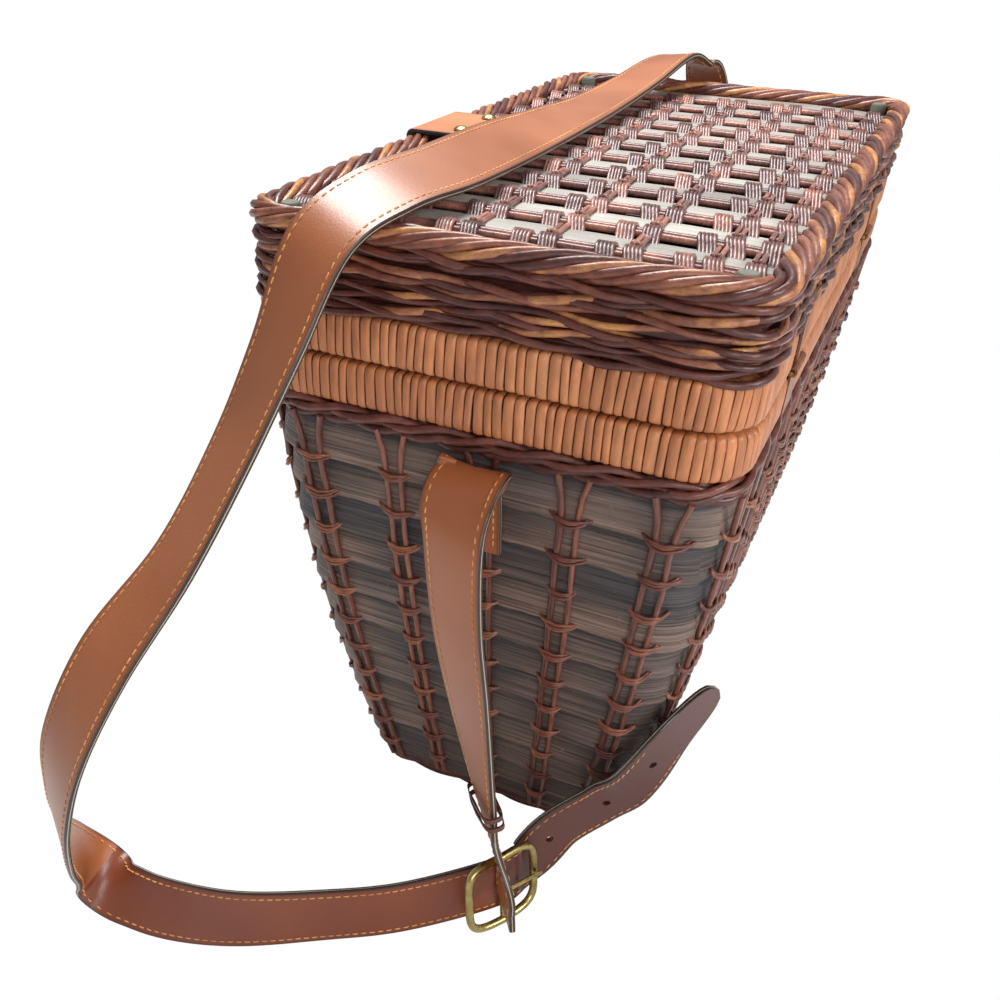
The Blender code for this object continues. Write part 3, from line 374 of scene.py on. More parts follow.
PLAIN_WOOD = dict(roughness=0.7, stretch=(60.0, 60.0, 700.0), blotch=30.0, line_depth=0.5, bump=0.4,
                  stops=((0.0, (0.5, 0.5, 0.5)), (1.0, (1, 1, 1))))
FIBRES = {
    "willow": dict(
        label="Willow", colour="willow", roughness=0.34, stretch=(220.0, 220.0, 500.0), blotch=55.0,
        line_depth=0.45, bump=0.30, coat=0.15,
        stops=((0.0, (0.40, 0.36, 0.42)), (0.35, (0.8, 0.75, 0.8)), (0.65, (1.25, 1.35, 1.25)),
               (0.86, (1.8, 2.2, 1.9)), (1.0, (3.1, 4.6, 2.4)))),
    "stake": dict(
        label="Stake willow", colour="willow", roughness=0.36, stretch=(500.0, 500.0, 60.0), blotch=70.0,
        line_depth=0.40, bump=0.30, coat=0.25,
        stops=((0.0, (0.5, 0.45, 0.45)), (0.5, (0.95, 0.95, 0.9)), (1.0, (1.6, 1.8, 1.5)))),
    "wrap": dict(
        label="Wrap willow", colour="willow", roughness=0.34, stretch=(200.0, 200.0, 600.0), blotch=90.0,
        line_depth=0.45, bump=0.35, coat=0.25,
        stops=((0.0, (0.55, 0.5, 0.5)), (0.5, (1.1, 1.1, 1.0)), (1.0, (1.9, 2.2, 1.5)))),
    "split": dict(
        label="Lid splits", colour="splits", roughness=0.30, stretch=(900.0, 60.0, 500.0), blotch=60.0,
        line_depth=0.40, bump=0.35, coat=0.30,
        stops=((0.0, (0.42, 0.36, 0.36)), (0.5, (1, 1, 1)), (0.85, (1.5, 1.5, 1.45)),
               (1.0, (2.6, 2.5, 2.1)))),
    "slat": dict(
        label="Wall slats", colour="slats", roughness=0.50, stretch=(12.0, 12.0, 1000.0), blotch=16.0,
        line_depth=0.15, bump=1.0,
        stops=((0.0, (0.34, 0.42, 0.60)), (0.25, (0.56, 0.58, 0.66)), (0.5, (1.05, 0.98, 0.96)),
               (0.75, (1.75, 1.55, 1.45)), (1.0, (2.9, 2.8, 2.7)))),
    "lid_slat": dict(
        label="Lid slats", colour="lid_slats", roughness=0.5, stretch=(20.0, 1100.0, 300.0), blotch=30.0,
        line_depth=0.62, bump=0.35,
        stops=((0.0, (0.45, 0.42, 0.42)), (0.6, (0.95, 0.95, 0.95)), (1.0, (1.3, 1.3, 1.3)))),
    "cane": dict(
        label="Cane", colour="cane", roughness=0.46, stretch=(260.0, 260.0, 60.0), blotch=45.0,
        line_depth=0.62, bump=0.35, coat=0.20,
        stops=((0.0, (0.50, 0.42, 0.40)), (0.30, (0.88, 0.86, 0.85)), (0.70, (1.12, 1.15, 1.15)),
               (1.0, (1.40, 1.65, 1.9)))),
    "hoop": dict(label="Hoop wood", colour=(0.07, 0.035, 0.022), **PLAIN_WOOD),
    "cut_end": dict(label="Cut stake end", colour=(0.20, 0.21, 0.16), **PLAIN_WOOD),
}
FIBRE_WEAR = (260.0, 0.35)
TINT_DRIFT = 0.28
FIBRE_RUBBED = (1.5, 1.45, 1.4)
FIBRE_RUBBED_SHARE = 0.5
FIBRE_SHINE_ON_LINES = 0.12
FIBRE_BUMP_DEPTH = 0.0004

# Leathers: a factor on the panel's leather colour, roughness and coat
LEATHERS = {
    "leather": ("Strap leather", (1, 1, 1), 0.42, 0.38),
    "pale_leather": ("Pale leather", (1.45, 1.75, 2.0), 0.5, 0.0),
    # A darker, slightly redder copy of the strap leather: painted shade, and a redder tone of the leather
    "reddish_shaded_leather": ("Floor leather", (0.55, 0.42, 0.48), 0.34, 0.25),
    # A much darker copy of the strap leather: painted shade
    "dark_leather": ("Dark leather", (0.25, 0.20, 0.38), 0.30, 0.35),
}
# Shares of a strap's half width at which its darker margin starts and is full, and where its cut edge begins
MARGIN_RANGE = (0.86, 0.97)
CUT_EDGE_SHARE = 0.975
# The cream line between the plies, as a share of half the thickness
CREAM_LINE_SHARE = 0.16
CREAM = (0.46, 0.36, 0.25)
BURNISHED = (0.022, 0.014, 0.012)
PORE_SCALE = 900.0
LEATHER_GRAIN_SHARE = 0.35
LEATHER_CREASE_SHARE = 0.35
LEATHER_GRAIN = ((420.0, 420.0, 420.0), 14.0)
LEATHER_WEAR = (420.0, 0.25)
LEATHER_BUMP = (0.18, 0.00025)
THREAD_BUMP = (0.4, 0.0002)
BRASS_BUMP = (0.15, 0.0002)


def fibre_material(label, colour, stops, roughness, stretch, blotch, line_depth, bump, coat=0.0):
    """A wood or fibre finish. Stops spread over the strands by their tint; grain darkens between lines."""
    material, tree, shader = start_material(label, roughness, Coat_Weight=coat, Coat_Roughness=0.25)
    if isinstance(colour, str):
        colour = getattr(colours(), colour)
    _, grain, wear = grain_and_wear(tree, stretch, blotch, *FIBRE_WEAR)
    drift = maths(tree, "MULTIPLY", maths(tree, "SUBTRACT", grain.outputs["Blotches"], 0.5), TINT_DRIFT)
    tone = maths(tree, "ADD", attribute(tree, "tint"), drift, clamp=True)
    base = colour_ramp(tree, tone, [(place, shade(colour, factor)) for place, factor in stops])
    dark = blend_colour(tree, 1.0, base, (line_depth,) * 3, "MULTIPLY")
    lined = blend_colour(tree, grain.outputs["Lines"], dark, base)
    rubbed = blend_colour(tree, 1.0, base, FIBRE_RUBBED, "MULTIPLY")
    rubbing = maths(tree, "MULTIPLY", wear.outputs["Mask"], FIBRE_RUBBED_SHARE)
    link(tree, blend_colour(tree, rubbing, lined, rubbed), shader.inputs["Base Color"])
    shine = maths(tree, "MULTIPLY", grain.outputs["Lines"], -FIBRE_SHINE_ON_LINES)
    link(tree, maths(tree, "ADD", shine, roughness + 0.08), shader.inputs["Roughness"])
    add_bump(tree, shader, grain.outputs["Height"], bump, FIBRE_BUMP_DEPTH)
    return material


def leather_material(name, factor, roughness, coat):
    """Two plies of leather: a grained face, dark burnished edges with a cream line between the plies."""
    face = shade(colours().leather, factor)
    material, tree, shader = start_material(name, roughness, Coat_Weight=coat, Coat_Roughness=0.3)
    place, grain, wear = grain_and_wear(tree, *LEATHER_GRAIN, *LEATHER_WEAR)
    across = maths(tree, "ABSOLUTE", attribute(tree, "across"))
    through = maths(tree, "ABSOLUTE", attribute(tree, "through"))
    mottled = blend_colour(tree, grain.outputs["Blotches"], shade(face, (0.86, 0.82, 0.80)),
                           shade(face, (1.1, 1.12, 1.15)))
    creases = maths(tree, "MULTIPLY", wear.outputs["Mask"], LEATHER_CREASE_SHARE)
    creased = blend_colour(tree, creases, mottled, shade(face, (0.55, 0.5, 0.5)))
    edged = blend_colour(tree, spread(tree, across, *MARGIN_RANGE), creased, shade(face, (0.5, 0.45, 0.45)))
    edge_colour = blend_colour(tree, maths(tree, "LESS_THAN", through, CREAM_LINE_SHARE), BURNISHED, CREAM)
    is_edge = maths(tree, "GREATER_THAN", across, CUT_EDGE_SHARE)
    link(tree, blend_colour(tree, is_edge, edged, edge_colour), shader.inputs["Base Color"])
    pores = tree.nodes.new("ShaderNodeTexVoronoi")
    pores.inputs["Scale"].default_value = PORE_SCALE
    link(tree, place, pores.inputs["Vector"])
    grain_height = maths(tree, "MULTIPLY", grain.outputs["Height"], LEATHER_GRAIN_SHARE)
    add_bump(tree, shader, maths(tree, "ADD", pores.outputs["Distance"], grain_height), *LEATHER_BUMP)
    rough = maths(tree, "ADD", maths(tree, "MULTIPLY", grain.outputs["Blotches"], 0.10), roughness - 0.05)
    link(tree, rough, shader.inputs["Roughness"])
    return material


def thread_material():
    material, tree, shader = start_material("Thread", 0.55, Sheen_Weight=0.2)
    place = tree.nodes.new("ShaderNodeTexCoord").outputs["Object"]
    grain = add_group(tree, grain_group(), place, Stretch=(1500.0, 1500.0, 1500.0), Blotch=40.0)
    base = colours().thread
    colour = blend_colour(tree, grain.outputs["Blotches"], shade(base, (0.7, 0.6, 0.5)),
                          shade(base, (1.15, 1.2, 1.2)))
    link(tree, colour, shader.inputs["Base Color"])
    add_bump(tree, shader, grain.outputs["Lines"], *THREAD_BUMP)
    return material


def brass_material():
    """Brass that is dull and dark where it is worn."""
    material, tree, shader = start_material("Brass", 0.3)
    _, grain, wear = grain_and_wear(tree, (350.0, 350.0, 350.0), 90.0, 520.0, 0.5)
    base = colours().brass
    colour = blend_colour(tree, grain.outputs["Blotches"], shade(base, (0.62, 0.60, 0.5)),
                          shade(base, (1.15, 1.15, 1.1)))
    colour = blend_colour(tree, maths(tree, "MULTIPLY", wear.outputs["Mask"], 0.7), colour,
                          shade(base, (0.30, 0.27, 0.24)))
    link(tree, colour, shader.inputs["Base Color"])
    metal = maths(tree, "SUBTRACT", 1.0, maths(tree, "MULTIPLY", wear.outputs["Mask"], 0.4))
    link(tree, metal, shader.inputs["Metallic"])
    rough = maths(tree, "ADD", maths(tree, "MULTIPLY", grain.outputs["Lines"], 0.2), 0.2)
    link(tree, rough, shader.inputs["Roughness"])
    add_bump(tree, shader, grain.outputs["Height"], *BRASS_BUMP)
    return material


finished = {}


def finish(name):
    """The material of a finish, made on first use."""
    if name not in finished:
        if name in FIBRES:
            finished[name] = fibre_material(**FIBRES[name])
        elif name in LEATHERS:
            finished[name] = leather_material(*LEATHERS[name])
        else:
            finished[name] = {"thread": thread_material, "brass": brass_material}[name]()
    return finished[name]


# Geometry node trees

def named(tree, name, kind="FLOAT"):
    node = tree.nodes.new("GeometryNodeInputNamedAttribute")
    node.data_type = kind
    node.inputs["Name"].default_value = name
    return node.outputs["Attribute"]


def end_tree(tree, geometry, enter, leave):
    """Makes a tree's instances real and paints them."""
    realize = tree.nodes.new("GeometryNodeRealizeInstances")
    paint = tree.nodes.new("GeometryNodeSetMaterial")
    link(tree, geometry, realize.inputs["Geometry"])
    link(tree, realize.outputs[0], paint.inputs["Geometry"])
    link(tree, enter.outputs["Finish"], paint.inputs["Material"])
    link(tree, paint.outputs[0], leave.inputs[0])


def fill_rods(tree, enter, leave):
    curve = tree.nodes.new("GeometryNodeMeshToCurve")
    profile = tree.nodes.new("GeometryNodeCurvePrimitiveCircle")
    profile.inputs["Radius"].default_value = 1.0
    body = tree.nodes.new("GeometryNodeCurveToMesh")
    body.inputs["Fill Caps"].default_value = True
    smooth = tree.nodes.new("GeometryNodeSetShadeSmooth")
    link(tree, enter.outputs["Paths"], curve.inputs["Mesh"])
    link(tree, enter.outputs["Sides"], profile.inputs["Resolution"])
    link(tree, curve.outputs[0], body.inputs["Curve"])
    link(tree, profile.outputs["Curve"], body.inputs["Profile Curve"])
    link(tree, named(tree, "radius"), body.inputs["Scale"])
    link(tree, body.outputs[0], smooth.inputs["Geometry"])
    end_tree(tree, smooth.outputs[0], enter, leave)


def rods_tree():
    """Round rods along the edges of a path mesh, thick as its radius attribute says."""
    return shared_tree("Rods along paths", "GeometryNodeTree",
                       (("Paths", "Geometry"), ("Sides", "Int", 7), ("Finish", "Material")),
                       (("Rods", "Geometry"),), fill_rods)


def fill_copies(tree, enter, leave):
    shape = tree.nodes.new("GeometryNodeObjectInfo")
    turn = tree.nodes.new("FunctionNodeAxesToRotation")
    turn.primary_axis = "Z"
    turn.secondary_axis = "X"
    place = tree.nodes.new("GeometryNodeInstanceOnPoints")
    link(tree, enter.outputs["Points"], place.inputs["Points"])
    link(tree, enter.outputs["Shape"], shape.inputs["Object"])
    link(tree, shape.outputs["Geometry"], place.inputs["Instance"])
    link(tree, named(tree, "out", "FLOAT_VECTOR"), turn.inputs["Primary Axis"])
    link(tree, named(tree, "along", "FLOAT_VECTOR"), turn.inputs["Secondary Axis"])
    link(tree, turn.outputs[0], place.inputs["Rotation"])
    link(tree, named(tree, "size", "FLOAT_VECTOR"), place.inputs["Scale"])
    end_tree(tree, place.outputs[0], enter, leave)


def copies_tree():
    """Copies of one shape, set out on points that carry out, along, size and tint."""
    return shared_tree("Copies on points", "GeometryNodeTree",
                       (("Points", "Geometry"), ("Shape", "Object"), ("Finish", "Material")),
                       (("Copies", "Geometry"),), fill_copies)


def add_object(name, mesh):
    obj = bpy.data.objects.new(name, mesh)
    bpy.context.scene.collection.objects.link(obj)
    return obj


def mesh_attribute(mesh, name, values, kind="FLOAT"):
    layer = mesh.attributes.new(name, kind, "POINT")
    key = "value" if kind == "FLOAT" else "vector"
    layer.data.foreach_set(key, np.asarray(values, dtype=np.float32).ravel())


def evaluated_mesh(obj):
    depsgraph = bpy.context.evaluated_depsgraph_get()
    return bpy.data.meshes.new_from_object(obj.evaluated_get(depsgraph), preserve_all_data_layers=True,
                                           depsgraph=depsgraph)


def grown(obj, tree, values):
    """Runs the tree on the object and keeps its result as a plain mesh."""
    modifier = obj.modifiers.new("Weave", "NODES")
    modifier.node_group = tree
    identifiers = {item.name: item.identifier for item in tree.interface.items_tree if item.in_out == "INPUT"}
    for name, value in values.items():
        modifier[identifiers[name]] = value
    mesh = evaluated_mesh(obj)
    obj.modifiers.remove(modifier)
    before = obj.data
    obj.data = mesh
    bpy.data.meshes.remove(before)
    mesh.name = obj.name
    if not mesh.polygons:
        raise RuntimeError(f"{obj.name} came out empty")
    return obj


def rods(name, strands, material, sides=None):
    """Rods through paths. A strand is points, radius (one, or one each), tint and whether it is closed."""
    points, radii, tints, edges = [], [], [], []
    start = 0
    for path, radius, tint, closed in strands:
        count = len(path)
        points.append(np.asarray(path, dtype=float))
        radii.append(np.broadcast_to(radius, (count,)))
        tints.append(np.full(count, tint))
        edges += [(start + i, start + i + 1) for i in range(count - 1)]
        if closed:
            edges.append((start + count - 1, start))
        start += count
    mesh = bpy.data.meshes.new(name)
    mesh.from_pydata(np.concatenate(points).tolist(), edges, [])
    mesh_attribute(mesh, "radius", np.concatenate(radii))
    mesh_attribute(mesh, "tint", np.concatenate(tints))
    obj = add_object(name, mesh)
    return grown(obj, rods_tree(), {"Sides": sides or sizes().rod_sides, "Finish": finish(material)})


def copies(name, shape, rows, material):
    """Copies of a shape. A row is place, out, along, size and tint. The shape object is removed after."""
    mesh = bpy.data.meshes.new(name)
    mesh.from_pydata([tuple(row[0]) for row in rows], [], [])
    for index, key in ((1, "out"), (2, "along"), (3, "size")):
        mesh_attribute(mesh, key, [tuple(row[index]) for row in rows], "FLOAT_VECTOR")
    mesh_attribute(mesh, "tint", [row[4] for row in rows])
    obj = add_object(name, mesh)
    grown(obj, copies_tree(), {"Shape": shape, "Finish": finish(material)})
    data = shape.data
    bpy.data.objects.remove(shape, do_unlink=True)
    bpy.data.meshes.remove(data)
    return obj


def skin(bm, loops, ring=False):
    """Faces between closed loops of points. A ring joins its last loop to the first, others get two caps."""
    count = len(loops[0])
    for first, second in zip(loops, loops[1:] + loops[:1] if ring else loops[1:]):
        for i in range(count):
            j = (i + 1) % count
            bm.faces.new((first[i], first[j], second[j], second[i]))
    if not ring:
        bm.faces.new(list(reversed(loops[0])))
        bm.faces.new(loops[-1])


def band_skin(bm, rows):
    """Faces of a band. Its rows of points run along it, one after the other round its section."""
    for first, second in zip(rows, rows[1:] + rows[:1]):
        for i in range(len(first) - 1):
            bm.faces.new((first[i], first[i + 1], second[i + 1], second[i]))
    bm.faces.new([row[0] for row in rows])
    bm.faces.new([row[-1] for row in reversed(rows)])


def smooth_mesh(name, bm):
    mesh = bpy.data.meshes.new(name)
    bm.to_mesh(mesh)
    bm.free()
    mesh.shade_smooth()
    return mesh


def shape_object(name, bm):
    """A shape that is only there to be copied."""
    bmesh.ops.recalc_face_normals(bm, faces=bm.faces)
    return add_object(name, smooth_mesh(name, bm))


def mesh_object(name, bm, material, smooth_angle=35.0):
    bmesh.ops.recalc_face_normals(bm, faces=bm.faces)
    mesh = smooth_mesh(name, bm)
    mesh.materials.append(finish(material))
    mesh.set_sharp_from_angle(angle=math.radians(smooth_angle))
    return add_object(name, mesh)


def settle(obj, body, slot, *nodes):
    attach(obj, body)
    if nodes:
        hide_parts(*nodes)


def ring_angles(count):
    return [2 * math.pi * k / count for k in range(count)]


def squared(value, power):
    """Pulls a cosine or sine outwards, so that a circle becomes a rounded box."""
    return math.copysign(abs(value) ** power, value)


# Outlines

CORNER_STEPS = 24


class Outline:
    """A rounded rectangle seen from above, measured anticlockwise from the near end's middle."""

    def __init__(self, half_x, half_y, radius):
        flat_x, flat_y = half_x - radius, half_y - radius
        points, normals = [], []
        for centre_x, centre_y, start in ((flat_x, -flat_y, -90), (flat_x, flat_y, 0), (-flat_x, flat_y, 90),
                                          (-flat_x, -flat_y, 180)):
            for step in range(CORNER_STEPS + 1):
                angle = math.radians(start + 90 * step / CORNER_STEPS)
                normals.append((math.cos(angle), math.sin(angle)))
                points.append((centre_x + radius * normals[-1][0], centre_y + radius * normals[-1][1]))
        points = [(0.0, -half_y)] + points + [(0.0, -half_y)]
        normals = [(0.0, -1.0)] + normals + [(0.0, -1.0)]
        self.points = np.array(points)
        self.normals = np.array(normals)
        gaps = np.linalg.norm(np.diff(self.points, axis=0), axis=1)
        self.marks = np.concatenate(([0.0], np.cumsum(gaps)))
        self.length = self.marks[-1]

    def at(self, distance):
        s = np.mod(distance, self.length)
        place = np.stack([np.interp(s, self.marks, self.points[:, k]) for k in (0, 1)], axis=-1)
        normal = np.stack([np.interp(s, self.marks, self.normals[:, k]) for k in (0, 1)], axis=-1)
        return place, normal / np.linalg.norm(normal, axis=-1, keepdims=True)

    def path(self, distance, out, z):
        place, normal = self.at(distance)
        flat = place + normal * np.broadcast_to(out, np.shape(distance))[:, None]
        return np.column_stack([flat, np.broadcast_to(z, np.shape(distance))])


def wall_half(z):
    """Half width, half length and corner radius of the tub's wall at a height."""
    t = z / WALL_HEIGHT
    bulge = WALL_BULGE * 4 * t * (1 - t)
    half_x = FOOT_HALF_WIDTH + (HALF_WIDTH - WALL_INSET - FOOT_HALF_WIDTH) * t + bulge
    half_y = FOOT_HALF_LENGTH + (HALF_LENGTH - WALL_INSET - FOOT_HALF_LENGTH) * t + bulge
    return half_x, half_y, FOOT_CORNER + (RIM_CORNER - FOOT_CORNER) * t


def wave(rng, distance, length, depth, period):
    """Smooth random drift that closes on itself."""
    count = max(4, int(round(length / period)))
    knots = rng.uniform(-depth, depth, count)
    share = np.mod(distance / length, 1.0) * count
    low = np.floor(share).astype(int)
    t = share - low
    t = t * t * (3 - 2 * t)
    return knots[low % count] * (1 - t) + knots[(low + 1) % count] * t


def ring_marks(outline, step):
    count = int(round(outline.length / step))
    return np.arange(count) * outline.length / count


def smooth_path(points, steps):
    """A Catmull-Rom curve through points."""
    p = np.asarray(points, dtype=float)
    last = len(p) - 1
    result = []
    for i in range(last):
        a, b, c, d = p[max(i - 1, 0)], p[i], p[i + 1], p[min(i + 2, last)]
        for step in range(steps):
            t = step / steps
            result.append((-0.5 * t + t * t - 0.5 * t ** 3) * a + (1 - 2.5 * t * t + 1.5 * t ** 3) * b
                          + (0.5 * t + 2 * t * t - 1.5 * t ** 3) * c + (-0.5 * t * t + 0.5 * t ** 3) * d)
    result.append(p[last])
    return np.array(result)


def paint_node(name, material):
    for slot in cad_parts[name].material_slots:
        slot.material = finish(material)


# Wall slats, from the top one down: tint, and where its ends meet as a share of the way round

SLAT_TINTS = (0.56, 0.46, 0.14, 0.55, 0.42, 0.53, 0.33, 0.50, 0.40, 0.52, 0.37, 0.46)
SLAT_JOINS = (0.064, 0.060, 0.72, 0.067, 0.31, 0.062, 0.88, 0.42, 0.071, 0.55, 0.79, 0.25)
SLAT_LAP = 0.030
SLAT_STEP = 0.0035
SLAT_VISIBLE_THICKNESS = SLAT_THICKNESS * 0.6
SLAT_CORNER_TILT = 0.0010
# Between flat and corner the greater part of the wall's normal falls from 1 to 1 less this
CORNER_NORMAL_DROP = 0.293
SLAT_LOWERED = 0.0012
SLAT_TOP_LOWERED = 0.0006
# Rows of points up a band's outer face from its lip, then down the inner one: share of the height and way out
BAND_ROWS = ((0.02, 0.0012), (0.0, 0.0020), (0.06, 0.0024), (0.35, 0.0015), (0.7, 0.0004), (0.97, -0.0008),
             (1.0, -0.0012), (1.0, -0.0008 - SLAT_VISIBLE_THICKNESS), (0.5, -SLAT_VISIBLE_THICKNESS),
             (0.0, 0.0006 - SLAT_VISIBLE_THICKNESS))
# Painted light and shade for each of these rows, as a change of tone: painted shade below the lip and where
# the band tucks under the one above, a little painted highlight on the front of the lip, and a darker inner
# face
BAND_PAINTED_LIGHT_AND_SHADE = (0.0, -0.35, 0.10, 0.02, -0.06, -0.45, -0.55, -0.5, -0.5, -0.5)


def slat_band(name, low, high, tint, join, rng):
    """One bent slat: a strip that goes once round the tub and laps over its own start."""
    middle = Outline(*wall_half((low + high) / 2))
    around = middle.length
    count = int((around + SLAT_LAP) / SLAT_STEP)
    run = join * around + np.linspace(0.0, around + SLAT_LAP, count)
    ends = np.minimum(np.arange(count), np.arange(count)[::-1]) * (around + SLAT_LAP) / count
    tuck = np.clip(1 - ends / SLAT_LAP, 0, 1)
    half = count // 2
    lift = np.concatenate([-tuck[:half] * SLAT_THICKNESS * 0.5, tuck[half:] * SLAT_THICKNESS * 0.55])
    _, normal = middle.at(run)
    bend = 1 - np.abs(np.abs(normal).max(axis=1) - 1) / CORNER_NORMAL_DROP
    tilt = SLAT_CORNER_TILT * np.clip(1 - bend, 0, 1)
    ragged_low = wave(rng, run, around, 0.0006, 0.006) + wave(rng, run, around, 0.0009, 0.03)
    ragged_high = wave(rng, run, around, 0.0004, 0.008)
    swell = wave(rng, run, around, 0.0007, 0.05)
    bm = bmesh.new()
    rows = []
    for share, out in BAND_ROWS:
        z = low + (high - low) * share
        outline = Outline(*wall_half(z))
        here, way = outline.at(run * outline.length / around)
        z_row = z + ragged_low * (1 - share) + ragged_high * share
        total = out + lift + swell * (1 - share) + tilt * (1 - 2 * share)
        rows.append([bm.verts.new(point) for point in np.column_stack([here + way * total[:, None], z_row])])
    band_skin(bm, rows)
    obj = mesh_object(name, bm, "slat", 50.0)
    drift = wave(rng, run, around, 0.15, 0.035)
    # Each row's tint takes its painted light and shade on top of the random drift
    tones = [np.clip(tint + shift + drift, 0, 1) for shift in BAND_PAINTED_LIGHT_AND_SHADE]
    mesh_attribute(obj.data, "tint", np.concatenate(tones))
    return obj


class BASKET_OT_wall_slats(bpy.types.Operator):
    """Bends the wall's slats round the tub, one band above the other"""
    bl_idname = "basket.wall_slats"
    bl_label = "Wall Slats"

    def execute(self, context):
        rng = np.random.default_rng(11)
        high = WALL_HEIGHT
        for number, (tint, join) in enumerate(zip(SLAT_TINTS, SLAT_JOINS), start=1):
            low = max(high - SLAT_PITCH, FOOT_HEIGHT)
            name = f"slat_band_{number:02d}"
            band = slat_band(name, low - SLAT_LOWERED, high - SLAT_TOP_LOWERED, tint, join, rng)
            settle(band, "root", "slat_wood", f"wall_slat_{number:02d}")
            high = low
        paint_node("base_panel", "slat")
        return {"FINISHED"}


# Stakes and their ties

STAKE_STEPS = 26
STAKE_LOWERED = 0.004
STAKE_RAISED = 0.002
# A pair of stakes stands closer at the foot and flares above the top slat
PAIR_SPREAD_FOOT = 0.82
PAIR_SPREAD_RISE = 0.35
FLARE_NARROWING = 0.18
FLARE = 0.0032
TIE_CLEAR_OF_FOOT = 0.006
TIE_WIDTH_FOOT = 0.72
TIE_WIDTH_RISE = 0.35
TIE_STRANDS = 3
TIE_STRAND_RISE = 0.0014
TIE_HALF_FLAT = 0.0034
TIE_END_TAPER = 0.55


def stake_frame(axis, sign, share, z):
    """A place on the wall, the way along the wall and the way out of it."""
    half_x, half_y, _ = wall_half(z)
    if axis == "y":
        return np.array([share * half_x, sign * half_y, z]), np.array([1.0, 0, 0]), np.array([0, sign, 0.0])
    return np.array([sign * half_x, share * half_y, z]), np.array([0, 1.0, 0]), np.array([sign, 0, 0.0])


def stake_path(axis, sign, share, side, spread_factor, heights, rng):
    path = []
    for z, drift in zip(heights, wave(rng, heights, 0.26, 0.0005, 0.02)):
        centre, across, out = stake_frame(axis, sign, share, z)
        flare = max(0.0, z - (WALL_HEIGHT - SLAT_PITCH)) / SLAT_PITCH
        gap = side * (STAKE_SPACING / 2 * spread_factor
                      * (PAIR_SPREAD_FOOT + PAIR_SPREAD_RISE * z / WALL_HEIGHT)
                      * (1 - FLARE_NARROWING * flare) + FLARE * flare ** 2) + drift
        path.append(centre + across * gap + out * (STAKE_OUT + rng.uniform(-0.0001, 0.0001)))
    return path


def tie_shape(left, right, lift_left, lift_right, rise, over):
    """A strand over a pair of stakes: place along the wall, height and way out."""
    return ((left * 0.92, lift_left + 0.0012, -0.0004), (left, lift_left * 0.8, 0.0012),
            (left * 0.72, lift_left * 0.25 + rise * 0.4, over * 0.75), (-TIE_HALF_FLAT, rise, over),
            (0.0, rise - 0.0006, over + 0.0004), (TIE_HALF_FLAT, rise, over),
            (right * 0.66, rise * 0.5 + lift_right * 0.3, over * 0.66),
            (right * 0.92, lift_right * 0.9, 0.0010), (right, lift_right * 1.15, -0.0006))


def stake_wall(tag, axis, sign, shares, rng):
    """The pairs of stakes of one wall, with a tie at the foot of every slat."""
    stakes, ties = [], []
    levels = [WALL_HEIGHT - SLAT_PITCH * (i + 1) for i in range(SLAT_COUNT - 1)]
    levels = [level for level in levels if level >= FOOT_HEIGHT + TIE_CLEAR_OF_FOOT]
    heights = np.linspace(FOOT_HEIGHT - STAKE_LOWERED, WALL_HEIGHT + STAKE_RAISED, STAKE_STEPS)
    wrap = sizes().wrap_radius
    over = STAKE_OUT + STAKE_RADIUS + wrap * 0.75
    for share in shares:
        spread_factor = rng.uniform(0.9, 1.25)
        for side in (-1, 1):
            path = stake_path(axis, sign, share, side, spread_factor, heights, rng)
            stakes.append((path, STAKE_RADIUS * rng.uniform(0.88, 1.08), rng.uniform(0.1, 0.9), False))
        for level in levels:
            centre, across, out = stake_frame(axis, sign, share, level)
            width = (sizes().wrap_reach * rng.uniform(0.85, 1.2)
                     * (TIE_WIDTH_FOOT + TIE_WIDTH_RISE * level / WALL_HEIGHT))
            tone = rng.uniform(0.15, 0.95)
            for strand in range(TIE_STRANDS):
                rise = (strand - 1) * TIE_STRAND_RISE + rng.uniform(-0.0004, 0.0004)
                left = -width * rng.uniform(0.75, 1.0)
                right = width * rng.uniform(0.85, 1.15)
                lift_left = rng.uniform(0.0022, 0.0045)
                lift_right = rng.uniform(0.0015, 0.0036)
                shape = tie_shape(left, right, lift_left, lift_right, rise, over)
                points = [centre + across * u + out * w + np.array([0, 0, v]) for u, v, w in shape]
                path = smooth_path(points, 2)
                ends = np.ones(len(path))
                ends[[0, -1]] = TIE_END_TAPER
                radius = wrap * rng.uniform(0.85, 1.1) * ends
                ties.append((path, radius, min(1, max(0, tone + rng.uniform(-0.2, 0.2))), False))
    settle(rods(f"stake_rods_{tag}", stakes, "stake"), "root", "willow", f"stakes_{tag}")
    settle(rods(f"stake_ties_{tag}", ties, "wrap", 6), "root", "willow")


class BASKET_OT_stakes(bpy.types.Operator):
    """Sets the pairs of stakes on the four walls and ties them at every slat"""
    bl_idname = "basket.stakes"
    bl_label = "Stakes and Ties"

    def execute(self, context):
        steps = SIDE_STAKE_COUNT - 1
        sides = [SIDE_STAKE_SPAN_SHARE * (2 * n / steps - 1) for n in range(SIDE_STAKE_COUNT)]
        rng = np.random.default_rng(23)
        stake_wall("near_end", "y", -1, END_STAKE_SHARES, rng)
        stake_wall("far_end", "y", 1, END_STAKE_SHARES, rng)
        stake_wall("front", "x", -1, sides, rng)
        stake_wall("back", "x", 1, sides, rng)
        return {"FINISHED"}


# Twisted borders. A row is the way out and the height of a twist's middle, its swing out and in height, the
# length of one turn, the strands' radius, and their darkest and lightest tint.

